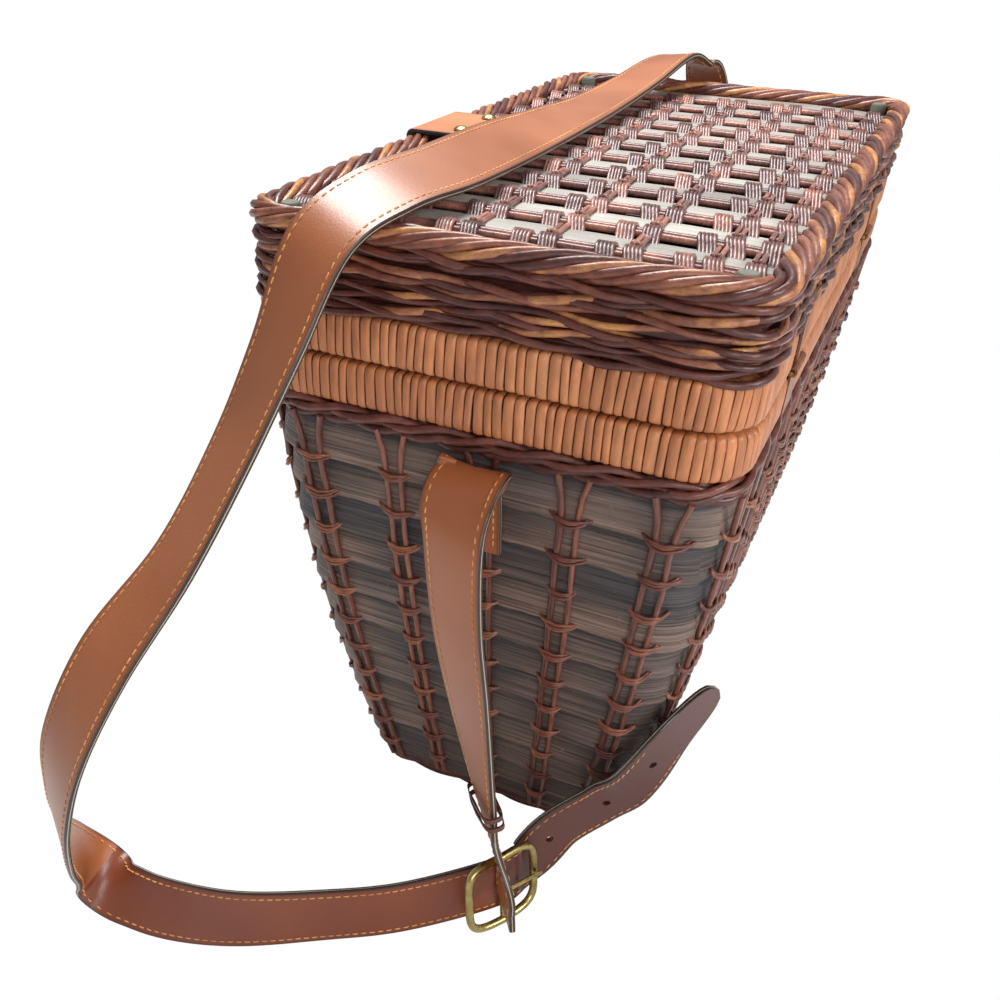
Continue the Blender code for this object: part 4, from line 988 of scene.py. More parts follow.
RIM_BORDER_TWISTS = (
    (-0.0022, 0.0014, 0.0016, 0.0022, 0.048, 0.0020, 0.1, 0.6),
    (-0.0030, -0.0022, 0.0014, 0.0016, 0.040, 0.0019, 0.0, 0.5),
    (-0.0055, 0.0, 0.0010, 0.0030, 0.035, 0.0022, 0.0, 0.3),
)
FOOT_BORDER_TWISTS = tuple((out, z, 0.0015, 0.0008, 0.055, 0.0019, 0.0, 0.45)
                           for out, z in ((-0.0022, 0.0024), (-0.0012, 0.0056), (-0.0010, 0.0088)))
FOOT_CORE_HEIGHTS = (0.003, 0.0075)
FOOT_CORE_RADIUS = 0.0024


def twisted_strands(outline, base, twists, rng):
    """Pairs of strands twisted round each other along an outline, with heights above a base."""
    marks = ring_marks(outline, 0.004)
    around = outline.length
    strands = []
    for centre_out, centre_z, out_swing, z_swing, pitch, radius, dark, light in twists:
        turns = max(1, round(around / pitch))
        for k in range(2):
            phase = 2 * math.pi * (turns * marks / around + k / 2)
            out = centre_out + out_swing * np.cos(phase) + wave(rng, marks, around, 0.0003, 0.02)
            z = base + centre_z + z_swing * np.sin(phase) + wave(rng, marks, around, 0.0004, 0.03)
            thick = radius * (1 + wave(rng, marks, around, 0.12, 0.05))
            strands.append((outline.path(marks, out, z), thick, rng.uniform(dark, light), True))
    return strands


class BASKET_OT_borders(bpy.types.Operator):
    """Twists the border under the rim and the one the basket stands on"""
    bl_idname = "basket.borders"
    bl_label = "Twisted Borders"

    def execute(self, context):
        rng = np.random.default_rng(31)
        low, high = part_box("under_rim_border")
        rim = Outline(HALF_WIDTH, HALF_LENGTH, RIM_CORNER)
        strands = twisted_strands(rim, (low[2] + high[2]) / 2, RIM_BORDER_TWISTS, rng)
        settle(rods("rim_border_strands", strands, "willow"), "root", "willow", "under_rim_border")
        foot = Outline(*wall_half(FOOT_HEIGHT / 2))
        strands = twisted_strands(foot, 0.0, FOOT_BORDER_TWISTS, rng)
        strands += [(foot.path(ring_marks(foot, 0.006), -0.005, z), FOOT_CORE_RADIUS, 0.1, True)
                    for z in FOOT_CORE_HEIGHTS]
        settle(rods("foot_border_strands", strands, "willow"), "root", "willow", "foot_border")
        return {"FINISHED"}


# Cane rims

RIM_SECTION_POINTS = 20
RIM_SQUARENESS = 0.42
HINGE_PLACE = 0.115
HINGE_HALF_GAP = 0.0135
BACK_FACE_DEPTH = 0.002
# A turn's section: place across its width, and depth below its crown in crown heights
CANE_SECTION = ((-0.5, 1.6), (-0.40, 0.55), (0.0, 0.0), (0.40, 0.55), (0.5, 1.6), (0.0, 2.2))
CANE_WIDTH_SHARES = (0.78, 1.22)
CANE_COVER = 0.97
# How much of its neighbour's lean and tone a turn keeps, and how far they may change
LEAN_KEPT = 0.7
LEAN_CHANGE = 0.035
TONE_KEPT = 0.6
TONE_ADDED = 0.23
TONE_CHANGE = 0.17
DARK_TURN_CHANCE = 0.02
DARK_TURN_TONE = 0.05


def rim_loop(low, high):
    """Outline of a rim's section as outward distance and height."""
    half = RIM_THICKNESS / 2
    tall = (high - low) / 2
    return [(-half + half * squared(math.cos(angle), RIM_SQUARENESS),
             (low + high) / 2 + tall * squared(math.sin(angle), RIM_SQUARENESS))
            for angle in ring_angles(RIM_SECTION_POINTS)]


def cane_strip(height):
    """One turn of cane round a rim's section, a metre wide so that its copies are scaled to the pitch."""
    bm = bmesh.new()
    crown = sizes().cane_crown
    section = rim_loop(-height / 2, height / 2)
    loops = []
    for u, crowns in CANE_SECTION:
        depth = -crown * crowns
        loop = []
        for i, (out, z) in enumerate(section):
            ahead, behind = section[(i + 1) % len(section)], section[i - 1]
            tangent = Vector((ahead[0] - behind[0], ahead[1] - behind[1])).normalized()
            normal = Vector((tangent.y, -tangent.x))
            loop.append(bm.verts.new((u, z + normal.y * depth, out + normal.x * depth)))
        loops.append(loop)
    skin(bm, loops, ring=True)
    return shape_object("cane_strip", bm)


def at_hinge(x, y):
    return x > HALF_WIDTH - BACK_FACE_DEPTH and abs(abs(y) - HINGE_PLACE) < HINGE_HALF_GAP


def cane_rim(name, box, body, nodes, rng):
    """Turns of cane set side by side round a rim, each with its own width, lean and tone."""
    outline = Outline(HALF_WIDTH, HALF_LENGTH, RIM_CORNER)
    pitch = sizes().cane_pitch
    middle = (box[0][2] + box[1][2]) / 2
    rows = []
    distance, lean, tone = 0.0, 0.0, 0.5
    while distance < outline.length - pitch * 0.4:
        width = pitch * rng.uniform(*CANE_WIDTH_SHARES)
        place, normal = outline.at(np.array([distance + width / 2]))
        (x, y), (out_x, out_y) = place[0], normal[0]
        if not at_hinge(x, y):
            lean = LEAN_KEPT * lean + rng.uniform(-LEAN_CHANGE, LEAN_CHANGE)
            tone = min(1.0, max(0.0, TONE_KEPT * tone + TONE_ADDED + rng.uniform(-TONE_CHANGE, TONE_CHANGE)))
            dark = rng.random() < DARK_TURN_CHANCE
            flat = Vector((-out_y, out_x, 0))
            along = (flat * math.cos(lean) + Vector((0, 0, 1)) * math.sin(lean)).normalized()
            tall = 1.0 + rng.uniform(-0.02, 0.02)
            size = (width * CANE_COVER, tall, 1.0 + rng.uniform(-0.05, 0.05))
            rows.append(((x, y, middle), Vector((out_x, out_y, 0)), along, size,
                         DARK_TURN_TONE if dark else tone))
        distance += width
    settle(copies(name, cane_strip(box[1][2] - box[0][2]), rows, "cane"), body, "cane", *nodes)


class BASKET_OT_cane_rims(bpy.types.Operator):
    """Winds flat cane round the tub's rim and the lid's rim"""
    bl_idname = "basket.cane_rims"
    bl_label = "Cane Rims"

    def execute(self, context):
        rng = np.random.default_rng(47)
        for tag, box, body in (("tub", RIM, "root"), ("lid", LID_RIM, "lid")):
            nodes = (f"{tag}_rim_winding", f"{tag}_rim_winding_back")
            cane_rim(f"{tag}_rim_cane", box, body, nodes, rng)
            paint_node(f"{tag}_rim_hoop", "hoop")
        return {"FINISHED"}


# Lid wall and border

LID_CORNER = 0.020
LID_WALL_ROWS = 8
LID_WALL_PLIES = 2
# Length of the wall that one wave of a rod and one turn of the braid take up
LID_WALL_PITCH = 0.058
BRAID_PITCH = 0.085
BRAID_STRANDS = 7
BRAID_OUT = -0.0042
BRAID_OUT_SWING = 0.0046
BRAID_RISE_SWING = 0.0032
BRAID_RADIUS = 0.0018
BRAID_CORE_OUT = -0.0050
BRAID_CORE_RADIUS = 0.0030
# The ends of the corner stakes: distance in from both sides, radius, and heights with their share of it
CORNER_STAKE_INSET = 0.0165
CORNER_STAKE_RADIUS = 0.0046
CORNER_STAKE_RISES = ((0, 1), (0.012, 1), (0.024, 1), (0.036, 1), (0.0392, 0.97), (0.0400, 0.80))


def lid_wall_strands(outline, marks, rng):
    around = outline.length
    turns = round(around / LID_WALL_PITCH)
    tall = LID_WALL_TOP - LID_WALL_LOW - 0.002
    strands = []
    for row in range(LID_WALL_ROWS):
        base = LID_WALL_LOW + 0.0022 + tall * row / (LID_WALL_ROWS - 1)
        for ply in range(LID_WALL_PLIES):
            phase = 2 * math.pi * turns * marks / around + math.pi * (row + ply * 0.55)
            out = -0.0016 + 0.0018 * np.sin(phase) + wave(rng, marks, around, 0.0008, 0.05) - 0.0006 * ply
            z = base + 0.0012 * np.cos(phase + ply * math.pi) + wave(rng, marks, around, 0.0026, 0.06)
            thick = sizes().lid_strand * rng.uniform(0.8, 1.1) * (1 + wave(rng, marks, around, 0.18, 0.07))
            tone = rng.uniform(0.0, 0.62) if rng.random() < 0.8 else rng.uniform(0.85, 1.0)
            strands.append((outline.path(marks, out, z), thick, tone, True))
    return strands


def braid_strands(outline, marks, rng):
    around = outline.length
    middle = (LID_BORDER_LOW + LID_TOP) / 2
    turns = round(around / BRAID_PITCH)
    strands = []
    for k in range(BRAID_STRANDS):
        phase = 2 * math.pi * (turns * marks / around + k / BRAID_STRANDS)
        out = BRAID_OUT + BRAID_OUT_SWING * np.cos(phase) + wave(rng, marks, around, 0.0005, 0.03)
        z = middle + BRAID_RISE_SWING * np.sin(phase) + wave(rng, marks, around, 0.0006, 0.04)
        thick = BRAID_RADIUS * rng.uniform(0.85, 1.1) * (1 + wave(rng, marks, around, 0.15, 0.06))
        tone = rng.uniform(0.15, 0.75) if k % 4 else 0.95
        strands.append((outline.path(marks, out, z), thick, tone, True))
    strands.append((outline.path(marks, BRAID_CORE_OUT, middle), BRAID_CORE_RADIUS, 0.1, True))
    return strands


class BASKET_OT_lid_wall(bpy.types.Operator):
    """Weaves the lid's side wall, braids its top edge and sets the corner stake ends"""
    bl_idname = "basket.lid_wall"
    bl_label = "Lid Wall and Border"

    def execute(self, context):
        rng = np.random.default_rng(53)
        outline = Outline(HALF_WIDTH, HALF_LENGTH, LID_CORNER)
        marks = ring_marks(outline, 0.0045)
        settle(rods("lid_wall_rods", lid_wall_strands(outline, marks, rng), "willow"), "lid", "willow")
        paint_node("lid_wall", "willow")
        braid = rods("lid_border_braid", braid_strands(outline, marks, rng), "willow")
        settle(braid, "lid", "willow", "lid_border")
        ends = []
        for sign_x, sign_y in ((1, -1), (1, 1), (-1, -1), (-1, 1)):
            x = sign_x * (HALF_WIDTH - CORNER_STAKE_INSET)
            y = sign_y * (HALF_LENGTH - CORNER_STAKE_INSET)
            path = [(x, y, LID_WALL_LOW - 0.004 + rise) for rise, _ in CORNER_STAKE_RISES]
            radii = np.array([share for _, share in CORNER_STAKE_RISES]) * CORNER_STAKE_RADIUS
            ends.append((path, radii, 0.8, False))
        settle(rods("corner_stake_ends", ends, "cut_end", 14), "lid", "willow")
        return {"FINISHED"}


# Lid top

PAIR_CENTRES_SHARES = (-0.900, -0.568, -0.236, 0.095, 0.427, 0.739)
SINGLE_SHARES = (0.945,)
PAIR_HALF_GAP = 0.0054
LID_END_GAP = 0.0115
LID_ROD_HALF_SPAN = LID_INNER + 0.001
# A slat starts this far behind one row of rods and ends this far in front of the next
SLAT_FROM_ROD = 0.0040
SLAT_TO_ROD = 0.0054
NARROWEST_SLAT = 0.004
LID_SLAT_STEPS = 26
LID_SLAT_THICKNESS = 0.0016
# The lid's rods and slats sink towards their ends by this much
LID_SAG = 0.0016
# Rows of points round a slat's section: share of its width and rise
LID_SLAT_ROWS = ((0.0, -0.0006), (0.12, 0.0), (0.5, 0.0003), (0.88, 0.0), (1.0, -0.0006),
                 (1.0, -LID_SLAT_THICKNESS), (0.5, -LID_SLAT_THICKNESS), (0.0, -LID_SLAT_THICKNESS))
LID_SLAT_TONES = 16
ROD_PAIR = ((0.0016, 0.0015), (-0.0016, 0.0014))
SPLIT_STRANDS = 5
SPLIT_SPACING = 0.00150
LIGHT_ROD_RADIUS = 0.0011
LIGHT_BUNDLE_CHANCE = 0.07


def uneven(xs, count, depth, rng):
    """A random line through a few knots spread evenly over xs."""
    return np.interp(xs, np.linspace(xs[0], xs[-1], count), rng.uniform(-depth, depth, count))


def lid_slat(bm, y_low, y_high, rng):
    """One slat across the lid, slightly crowned and uneven along its edges."""
    xs = np.linspace(-LID_ROD_HALF_SPAN, LID_ROD_HALF_SPAN, LID_SLAT_STEPS)
    low = y_low + uneven(xs, 7, 0.0007, rng)
    high = y_high + uneven(xs, 7, 0.0007, rng)
    sag = uneven(xs, 5, 0.0004, rng) - LID_SAG * (xs / LID_INNER) ** 4
    rows = []
    for share, rise in LID_SLAT_ROWS:
        y = low + (high - low) * share
        rows.append([bm.verts.new((a, b, LID_SLAT_TOP + rise + c)) for a, b, c in zip(xs, y, sag)])
    band_skin(bm, rows)


def lid_slats(rows, rng):
    """All slats, with a tone for each row of rods that they lie between."""
    edges = [HALF_LENGTH - LID_END_GAP] + [y - SLAT_TO_ROD for y in rows]
    starts = [y + SLAT_FROM_ROD for y in rows] + [-HALF_LENGTH + LID_END_GAP]
    bm = bmesh.new()
    for high, low in zip(edges, starts):
        if high - low > NARROWEST_SLAT:
            lid_slat(bm, low, high, rng)
    panel = mesh_object("lid_slats", bm, "lid_slat", 40.0)
    tones = rng.uniform(0.35, 0.9, LID_SLAT_TONES)
    numbers = [int((vertex.co.y + HALF_LENGTH) / LID_ROW_PITCH) for vertex in panel.data.vertices]
    mesh_attribute(panel.data, "tint", [tones[number % LID_SLAT_TONES] for number in numbers])
    return panel


def split_bundle(x, y, rng):
    """Splits side by side that come up behind a pair of rods, over them, and down on the slat in front."""
    tone = rng.uniform(0.2, 0.85)
    if rng.random() < LIGHT_BUNDLE_CHANCE:
        tone = 1.0
    lean = rng.uniform(0.0022, 0.0042)
    strands = []
    for strand in range(SPLIT_STRANDS):
        side = (strand - 2) * SPLIT_SPACING
        top_y = y + 0.0058 + rng.uniform(-0.0012, 0.0012)
        shape = ((-0.0012, top_y + 0.0045, -0.0010), (-0.0008, top_y + 0.0016, 0.0010),
                 (0.0, y + 0.0022, 0.0028), (0.0006, y - 0.0022, 0.0027), (lean * 0.5, y - 0.0060, 0.0006),
                 (lean * 0.8, y - 0.0100, -0.0014), (lean, y - 0.0160, -0.0026))
        path = smooth_path([(x + side + dx, py, LID_SLAT_TOP + rise) for dx, py, rise in shape], 3)
        radius = sizes().split_radius * rng.uniform(0.88, 1.1)
        strands.append((path, radius, min(1, max(0, tone + rng.uniform(-0.15, 0.15))), False))
    return strands


def light_rods(x, y, rng):
    """Two light rods that come down over the slat behind, onto the top of a bundle."""
    strands = []
    for side in (-0.0014, 0.0012):
        start_y = y + LID_ROW_PITCH - 0.0070 + rng.uniform(-0.001, 0.001)
        end_x = x + side * 0.9
        shape = ((x - 0.0018 + side, start_y + 0.003, -0.0010), (x - 0.0014 + side, start_y, 0.0010),
                 (x - 0.0008 + side, y + 0.0125, 0.0014), (end_x, y + 0.0075, 0.0024),
                 (end_x, y + 0.0048, 0.0034), (end_x, y + 0.0034, 0.0036))
        path = smooth_path([(px, py, LID_SLAT_TOP + rise) for px, py, rise in shape], 3)
        thick = np.full(len(path), LIGHT_ROD_RADIUS * rng.uniform(0.9, 1.15))
        thick[-2:] *= (0.85, 0.45)
        strands.append((path, thick, rng.uniform(0.82, 1.0), False))
    return strands


class BASKET_OT_lid_weave(bpy.types.Operator):
    """Lays slats and rods across the lid and binds them with splits"""
    bl_idname = "basket.lid_weave"
    bl_label = "Lid Weave"

    def execute(self, context):
        rng = np.random.default_rng(61)
        rows = [LID_ROW_FIRST - k * LID_ROW_PITCH for k in range(LID_ROW_COUNT)]
        settle(lid_slats(rows, rng), "lid", "slat_wood", "lid_slat_panel")
        across, bundles, ties = [], [], []
        xs = np.linspace(-LID_ROD_HALF_SPAN, LID_ROD_HALF_SPAN, 30)
        for number, y in enumerate(rows):
            for shift, radius in ROD_PAIR:
                sway = uneven(xs, 9, 0.0005, rng)
                z = LID_SLAT_TOP + 0.0006 - LID_SAG * (xs / LID_INNER) ** 4
                path = np.column_stack([xs, y + shift + sway, z + rng.uniform(-0.0002, 0.0002)])
                across.append((path, radius * rng.uniform(0.9, 1.1), rng.uniform(0.65, 0.98), False))
            centres = []
            for share in PAIR_CENTRES_SHARES:
                middle = share * LID_INNER + rng.uniform(-0.001, 0.001)
                centres += [(middle - PAIR_HALF_GAP, False), (middle + PAIR_HALF_GAP, True)]
            centres += [(share * LID_INNER, True) for share in SINGLE_SHARES]
            for x, lead in centres:
                bundles += split_bundle(x, y, rng)
                if lead and number > 0:
                    ties += light_rods(x, y, rng)
        settle(rods("lid_cross_rods", across, "split"), "lid", "willow", "lid_rods")
        settle(rods("lid_split_bundles", bundles, "split", 6), "lid", "willow")
        settle(rods("lid_light_rods", ties, "split", 6), "lid", "willow")
        return {"FINISHED"}


# Leather straps

STRAP_STEPS = 8
# How far the tail that is riveted to an end wall hangs below its top
TAIL = 0.034
TAIL_MIDDLE = 0.010
# Points round a strap's section, as shares of its half width and half thickness, with rounded edges between
STRAP_CROWN = 1.02
STRAP_EDGE_ROUND_SHARE = 0.35
STRAP_SHOULDER_SHARE = 0.5
STRAP_EDGE_SHARE = 0.2
# The tip narrows to a rounded end over this many points
TIP_POINTS = 14
TIP_POWER = 2.6
TIP_END_SHARE = 0.0009
TIP_HOLES_SHARES = (0.30, 0.52, 0.74)
HOLE_RADIUS = 0.0021
# Rings of one stitch: place along it, share of its radius, and height
STITCH_RINGS = ((-0.5, 0.25, -0.6), (-0.42, 0.8, 0.1), (-0.2, 1.0, 0.35), (0.2, 1.0, 0.35), (0.42, 0.8, 0.1),
                (0.5, 0.25, -0.6))
STITCH_SIDES = 6
STITCH_LENGTH_SHARE = 0.74
STITCH_RADIUS = 0.00042
THREAD_TINT = 0.5
FOLD = 0.009
# The fold leans this far to the right of the riveted tail
FOLD_SHIFT = 0.0045
# The buckle strap's end comes down at the buckle: heights as shares of the buckle's, and place beside it
STRAP_END_SHARES = (0.56, 0.32, 0.08)
STRAP_END_OUT = 0.0160
STRAP_END_ALONG = 0.010
KEEPER_SHIFTS = (-0.0026, 0.0026)
KEEPER_CLEARANCE_UP = 0.0015
KEEPER_CLEARANCE_OUT = 0.0022
KEEPER_STRETCH_OUT = 1.35
KEEPER_POINTS = 24
KEEPER_HALF_WIDTH = 0.0011
KEEPER_HALF_THICKNESS = 0.0006


def buckle_place():
    """The big buckle's centre, and the ways along it, up it and out of it."""
    along = Vector((math.cos(BUCKLE_HEADING), math.sin(BUCKLE_HEADING), 0))
    back = Vector((-along.y, along.x, 0))
    up = (Vector((0, 0, 1)) * math.cos(BUCKLE_LEAN) + back * math.sin(BUCKLE_LEAN)).normalized()
    height = (BUCKLE_HEIGHT / 2) * up.z + BUCKLE_WIRE + GAP
    x_share, y_share = BUCKLE_PLACE_SHARES
    return Vector((x_share * HALF_WIDTH, y_share * HALF_LENGTH, height)), along, up, along.cross(up)


def route_point(row):
    x_share, y_share, level, rise, across = row
    across = Vector(across).normalized()
    down = abs(across.z) * STRAP_WIDTH / 2 + LEATHER / 2
    if level == "top":
        z = LID_TOP + rise * LID_TOP + down
    elif level == "floor":
        z = down + GAP + rise * LID_TOP
    else:
        z = rise * LID_TOP
    return Vector((x_share * HALF_WIDTH, y_share * HALF_LENGTH, z)), across


def tail_rows(sign):
    """Stations of a strap's tail on an end wall, from its lower end up to where it leaves the stakes."""
    seat = STAKE_OUT + STAKE_RADIUS + 2 * GAP + LEATHER / 2
    high, low = wall_half(ANCHOR_Z)[1], wall_half(ANCHOR_Z - TAIL)[1]
    across = Vector((-1, 0, 0))
    return [(Vector((0, sign * (high + (low - high) * drop / TAIL + seat), ANCHOR_Z - drop)), across)
            for drop in (TAIL, TAIL_MIDDLE, 0)]


def strap_route(stations):
    """Dense centres, width directions, face directions and directions along a strap."""
    centres = smooth_path([tuple(s[0]) for s in stations], STRAP_STEPS)
    across = smooth_path([tuple(s[1]) for s in stations], STRAP_STEPS)
    along = np.gradient(centres, axis=0)
    along /= np.linalg.norm(along, axis=1, keepdims=True)
    across -= along * (across * along).sum(axis=1, keepdims=True)
    across /= np.linalg.norm(across, axis=1, keepdims=True)
    normal = np.cross(along, across)
    reach = np.abs(across[:, 2]) * STRAP_WIDTH / 2 + np.abs(normal[:, 2]) * LEATHER / 2
    centres[:, 2] = np.maximum(centres[:, 2], reach + GAP)
    return centres, across, normal, along


def leather_attributes(mesh, across, through):
    """How far across and through the leather each point lies, from -1 to 1."""
    mesh_attribute(mesh, "across", across)
    mesh_attribute(mesh, "through", through)


def strap_mesh(name, route, material, narrow=None):
    """A strap with rounded edges. Its points know how far across and through the leather they are."""
    centres, across, normal, _ = route
    w, t = STRAP_WIDTH / 2, LEATHER / 2
    r = t * STRAP_EDGE_ROUND_SHARE
    side = w * STRAP_SHOULDER_SHARE
    step = t * STRAP_EDGE_SHARE
    crown = t * STRAP_CROWN
    section = [(-w + r, t), (-side, t), (0, crown), (side, t), (w - r, t), (w, t - r), (w, step), (w, -step),
               (w, -t + r), (w - r, -t), (side, -t), (0, -crown), (-side, -t), (-w + r, -t), (-w, -t + r),
               (-w, -step), (-w, step), (-w, t - r)]
    bm = bmesh.new()
    loops = []
    for i, centre in enumerate(centres):
        share = 1.0 if narrow is None else narrow[i]
        loops.append([bm.verts.new(centre + across[i] * u * share + normal[i] * v) for u, v in section])
    skin(bm, loops)
    obj = mesh_object(name, bm, material, 40.0)
    leather_attributes(obj.data, [u / w for u, _ in section] * len(centres),
                       [v / t for _, v in section] * len(centres))
    return obj


def stitch_shape():
    """One stitch, a metre long along X, with rounded ends that dip into the leather."""
    bm = bmesh.new()
    turns = [math.pi * k / 3 for k in range(STITCH_SIDES)]
    loops = [[bm.verts.new((x, radius * math.cos(turn), z + 0.7 * radius * math.sin(turn))) for turn in turns]
             for x, radius, z in STITCH_RINGS]
    skin(bm, loops)
    return shape_object("stitch", bm)


def stitches(name, route, rng, skip=0.006):
    """Rows of stitches near both edges of both faces of a strap."""
    lengths = np.concatenate(([0], np.cumsum(np.linalg.norm(np.diff(route[0], axis=0), axis=1))))
    pitch = sizes().stitch_pitch
    marks = np.arange(skip, lengths[-1] - skip, pitch)
    seam = STRAP_WIDTH / 2 - sizes().stitch_inset
    size = (pitch * STITCH_LENGTH_SHARE, STITCH_RADIUS, STITCH_RADIUS)
    picked = [np.column_stack([np.interp(marks, lengths, values[:, k]) for k in range(3)])
              for values in route]
    rows = []
    for middle, wide, face, way in zip(*picked):
        for side in (-1, 1):
            for top in (-1, 1):
                place = middle + wide * side * seam + face * top * LEATHER / 2
                rows.append((place, face * top, way + wide * rng.uniform(-0.05, 0.05), size, THREAD_TINT))
    return copies(name, stitch_shape(), rows, "thread")


def part_of(route, start, stop):
    return tuple(values[start:stop] for values in route)


def cut_holes(obj, places):
    """Punches round holes through a strap."""
    for centre, normal in places:
        bm = bmesh.new()
        turn = normal.to_track_quat("Z", "Y").to_matrix().to_4x4()
        bmesh.ops.create_cone(bm, cap_ends=True, segments=16, radius1=HOLE_RADIUS, radius2=HOLE_RADIUS,
                              depth=LEATHER * 4, matrix=Matrix.Translation(centre) @ turn)
        mesh = bpy.data.meshes.new("punch")
        bm.to_mesh(mesh)
        bm.free()
        punch = add_object("punch", mesh)
        modifier = obj.modifiers.new("hole", "BOOLEAN")
        modifier.operation = "DIFFERENCE"
        modifier.solver = "EXACT"
        modifier.object = punch
        result = evaluated_mesh(obj)
        obj.modifiers.remove(modifier)
        obj.data = result
        bpy.data.objects.remove(punch, do_unlink=True)


def shoulder_stations():
    centre, along, up, out = buckle_place()
    behind = out * -(BUCKLE_EYE_RADIUS + GAP + LEATHER / 2)
    stations = tail_rows(1)
    across = stations[0][1]
    past_rim = HALF_LENGTH + LEATHER
    stations.append((Vector((0, past_rim, RIM[0][2])), across))
    stations.append((Vector((-STRAP_WIDTH / 8, past_rim + LEATHER, RIM[1][2])), across))
    stations += [route_point(row) for row in SHOULDER_OVER_LID_SHARES + SHOULDER_FALLING_SHARES]
    stations.append((centre + behind, up))
    stations.append((centre + behind + (behind + along * (BUCKLE_LENGTH - BUCKLE_WIRE)) / 2, up))
    stations += [route_point(row) for row in SHOULDER_TIP_SHARES]
    return stations


class BASKET_OT_shoulder_strap(bpy.types.Operator):
    """Lays the shoulder strap from the far end over the lid, down to the floor and through the buckle"""
    bl_idname = "basket.shoulder_strap"
    bl_label = "Shoulder Strap"

    def execute(self, context):
        rng = np.random.default_rng(71)
        route = strap_route(shoulder_stations())
        # The stations before those over the lid, and how many of each table a piece of the strap takes
        first = 5
        over = (first + 6) * STRAP_STEPS
        floor = (first + len(SHOULDER_OVER_LID_SHARES) + 9) * STRAP_STEPS
        buckle = (first + len(SHOULDER_OVER_LID_SHARES) + len(SHOULDER_FALLING_SHARES)) * STRAP_STEPS
        # The floor piece and the tip take darker copies of the strap leather as painted shade; the floor's
        # copy is also a little redder
        pieces = (("far", 0, over + 1, "leather"), ("near", over, floor + 1, "leather"),
                  ("floor", floor, buckle + 1, "reddish_shaded_leather"), ("tip", buckle, len(route[0]), "dark_leather"))
        for tag, start, stop, material in pieces:
            section = part_of(route, start, stop)
            name = f"shoulder_strap_{tag}"
            if tag == "tip":
                narrow = np.ones(stop - start)
                narrow[-TIP_POINTS:] = np.sqrt(np.clip(1 - np.linspace(0, 1, TIP_POINTS) ** TIP_POWER,
                                                       TIP_END_SHARE, 1))
                strap = strap_mesh(name, section, material, narrow)
                centres, _, normal, _ = section
                picks = [int(len(centres) * share) for share in TIP_HOLES_SHARES]
                cut_holes(strap, [(Vector(centres[i]), Vector(normal[i])) for i in picks])
                seams = stitches(f"shoulder_stitches_{tag}", part_of(section, 0, -10), rng, 0.002)
            else:
                strap = strap_mesh(name, section, material)
                seams = stitches(f"shoulder_stitches_{tag}", section, rng, 0.0)
            for piece in (strap, seams):
                if tag == "far":
                    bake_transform(piece)
                elif tag == "near":
                    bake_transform(piece)
                else:
                    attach(piece, "root")
        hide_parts("shoulder_strap")
        return {"FINISHED"}


def keeper_loop(name, middle, way, tall, face):
    """A thin band of leather once round a strap."""
    half_up, half_out = STRAP_WIDTH / 2 + KEEPER_CLEARANCE_UP, LEATHER / 2 + KEEPER_CLEARANCE_OUT
    corners = [middle + face * half_out * squared(math.cos(angle), 0.7) * KEEPER_STRETCH_OUT
               + tall * half_up * squared(math.sin(angle), 0.35) for angle in ring_angles(KEEPER_POINTS)]
    bm = bmesh.new()
    loops = []
    for reach, wall in ((-1, 1), (1, 1), (1, -1), (-1, -1)):
        shift = way * reach * KEEPER_HALF_WIDTH
        loops.append([bm.verts.new(point + shift
                                   + (point - middle).normalized() * wall * KEEPER_HALF_THICKNESS)
                      for point in corners])
    skin(bm, loops, ring=True)
    # The keepers take the same darker copy of the strap leather that paints shade
    obj = mesh_object(name, bm, "dark_leather")
    count = len(obj.data.vertices)
    leather_attributes(obj.data, np.zeros(count), np.ones(count))
    return obj


class BASKET_OT_buckle_strap(bpy.types.Operator):
    """Hangs the buckle strap on the near end wall and puts the keeper loops round it"""
    bl_idname = "basket.buckle_strap"
    bl_label = "Buckle Strap"

    def execute(self, context):
        rng = np.random.default_rng(73)
        centre, along, up, out = buckle_place()
        stations = tail_rows(-1)
        top, across = stations[-1]
        stations.append((top + Vector((FOLD_SHIFT, -FOLD / 2, FOLD)), across))
        stations.append((top + Vector((FOLD_SHIFT, -2 * FOLD, FOLD / 2)), across))
        stations += [route_point(row) for row in BUCKLE_STRAP_SHARES]
        (first, first_up), (second, second_up) = stations[-2:]
        turned = (along - 2 * out).normalized()
        for share in STRAP_END_SHARES:
            place = centre + up * (BUCKLE_HEIGHT * share) + out * STRAP_END_OUT - along * STRAP_END_ALONG
            stations.append((place, turned))
        route = strap_route(stations)
        settle(strap_mesh("buckle_strap_leather", route, "leather"), "root", "leather", "buckle_strap")
        settle(stitches("buckle_strap_stitches", route, rng), "root", "leather")
        way = (second - first).normalized()
        tall = (first_up + second_up).normalized()
        tall = (tall - way * tall.dot(way)).normalized()
        for number, shift in enumerate(KEEPER_SHIFTS, start=1):
            middle = (first + second) / 2 + way * shift
            loop = keeper_loop(f"keeper_loop_{number}", middle, way, tall, way.cross(tall))
            settle(loop, "root", "leather", *(("strap_keeper",) if number == 1 else ()))
        return {"FINISHED"}


# Brass, tabs and hinges

RIVET_SIDES = 20
# Rings of a rivet head: shares of its radius and of its height
RIVET_RINGS = ((1.0, 0.0), (1.04, 0.14), (1.0, 0.30), (0.90, 0.44), (0.72, 0.72), (0.45, 0.93), (0.16, 1.0))
BUCKLE_POINTS = 48
BUCKLE_BOW = 0.0012
BUCKLE_VISIBLE_WIRE = 0.0021
BUCKLE_BAR_WIRE = 0.0014
TAB_EDGE_ROUND = 0.0005
TAB_SEAM_INSET = 0.003
TAB_STITCH_SIZE = (0.0030, 0.0004, 0.0004)


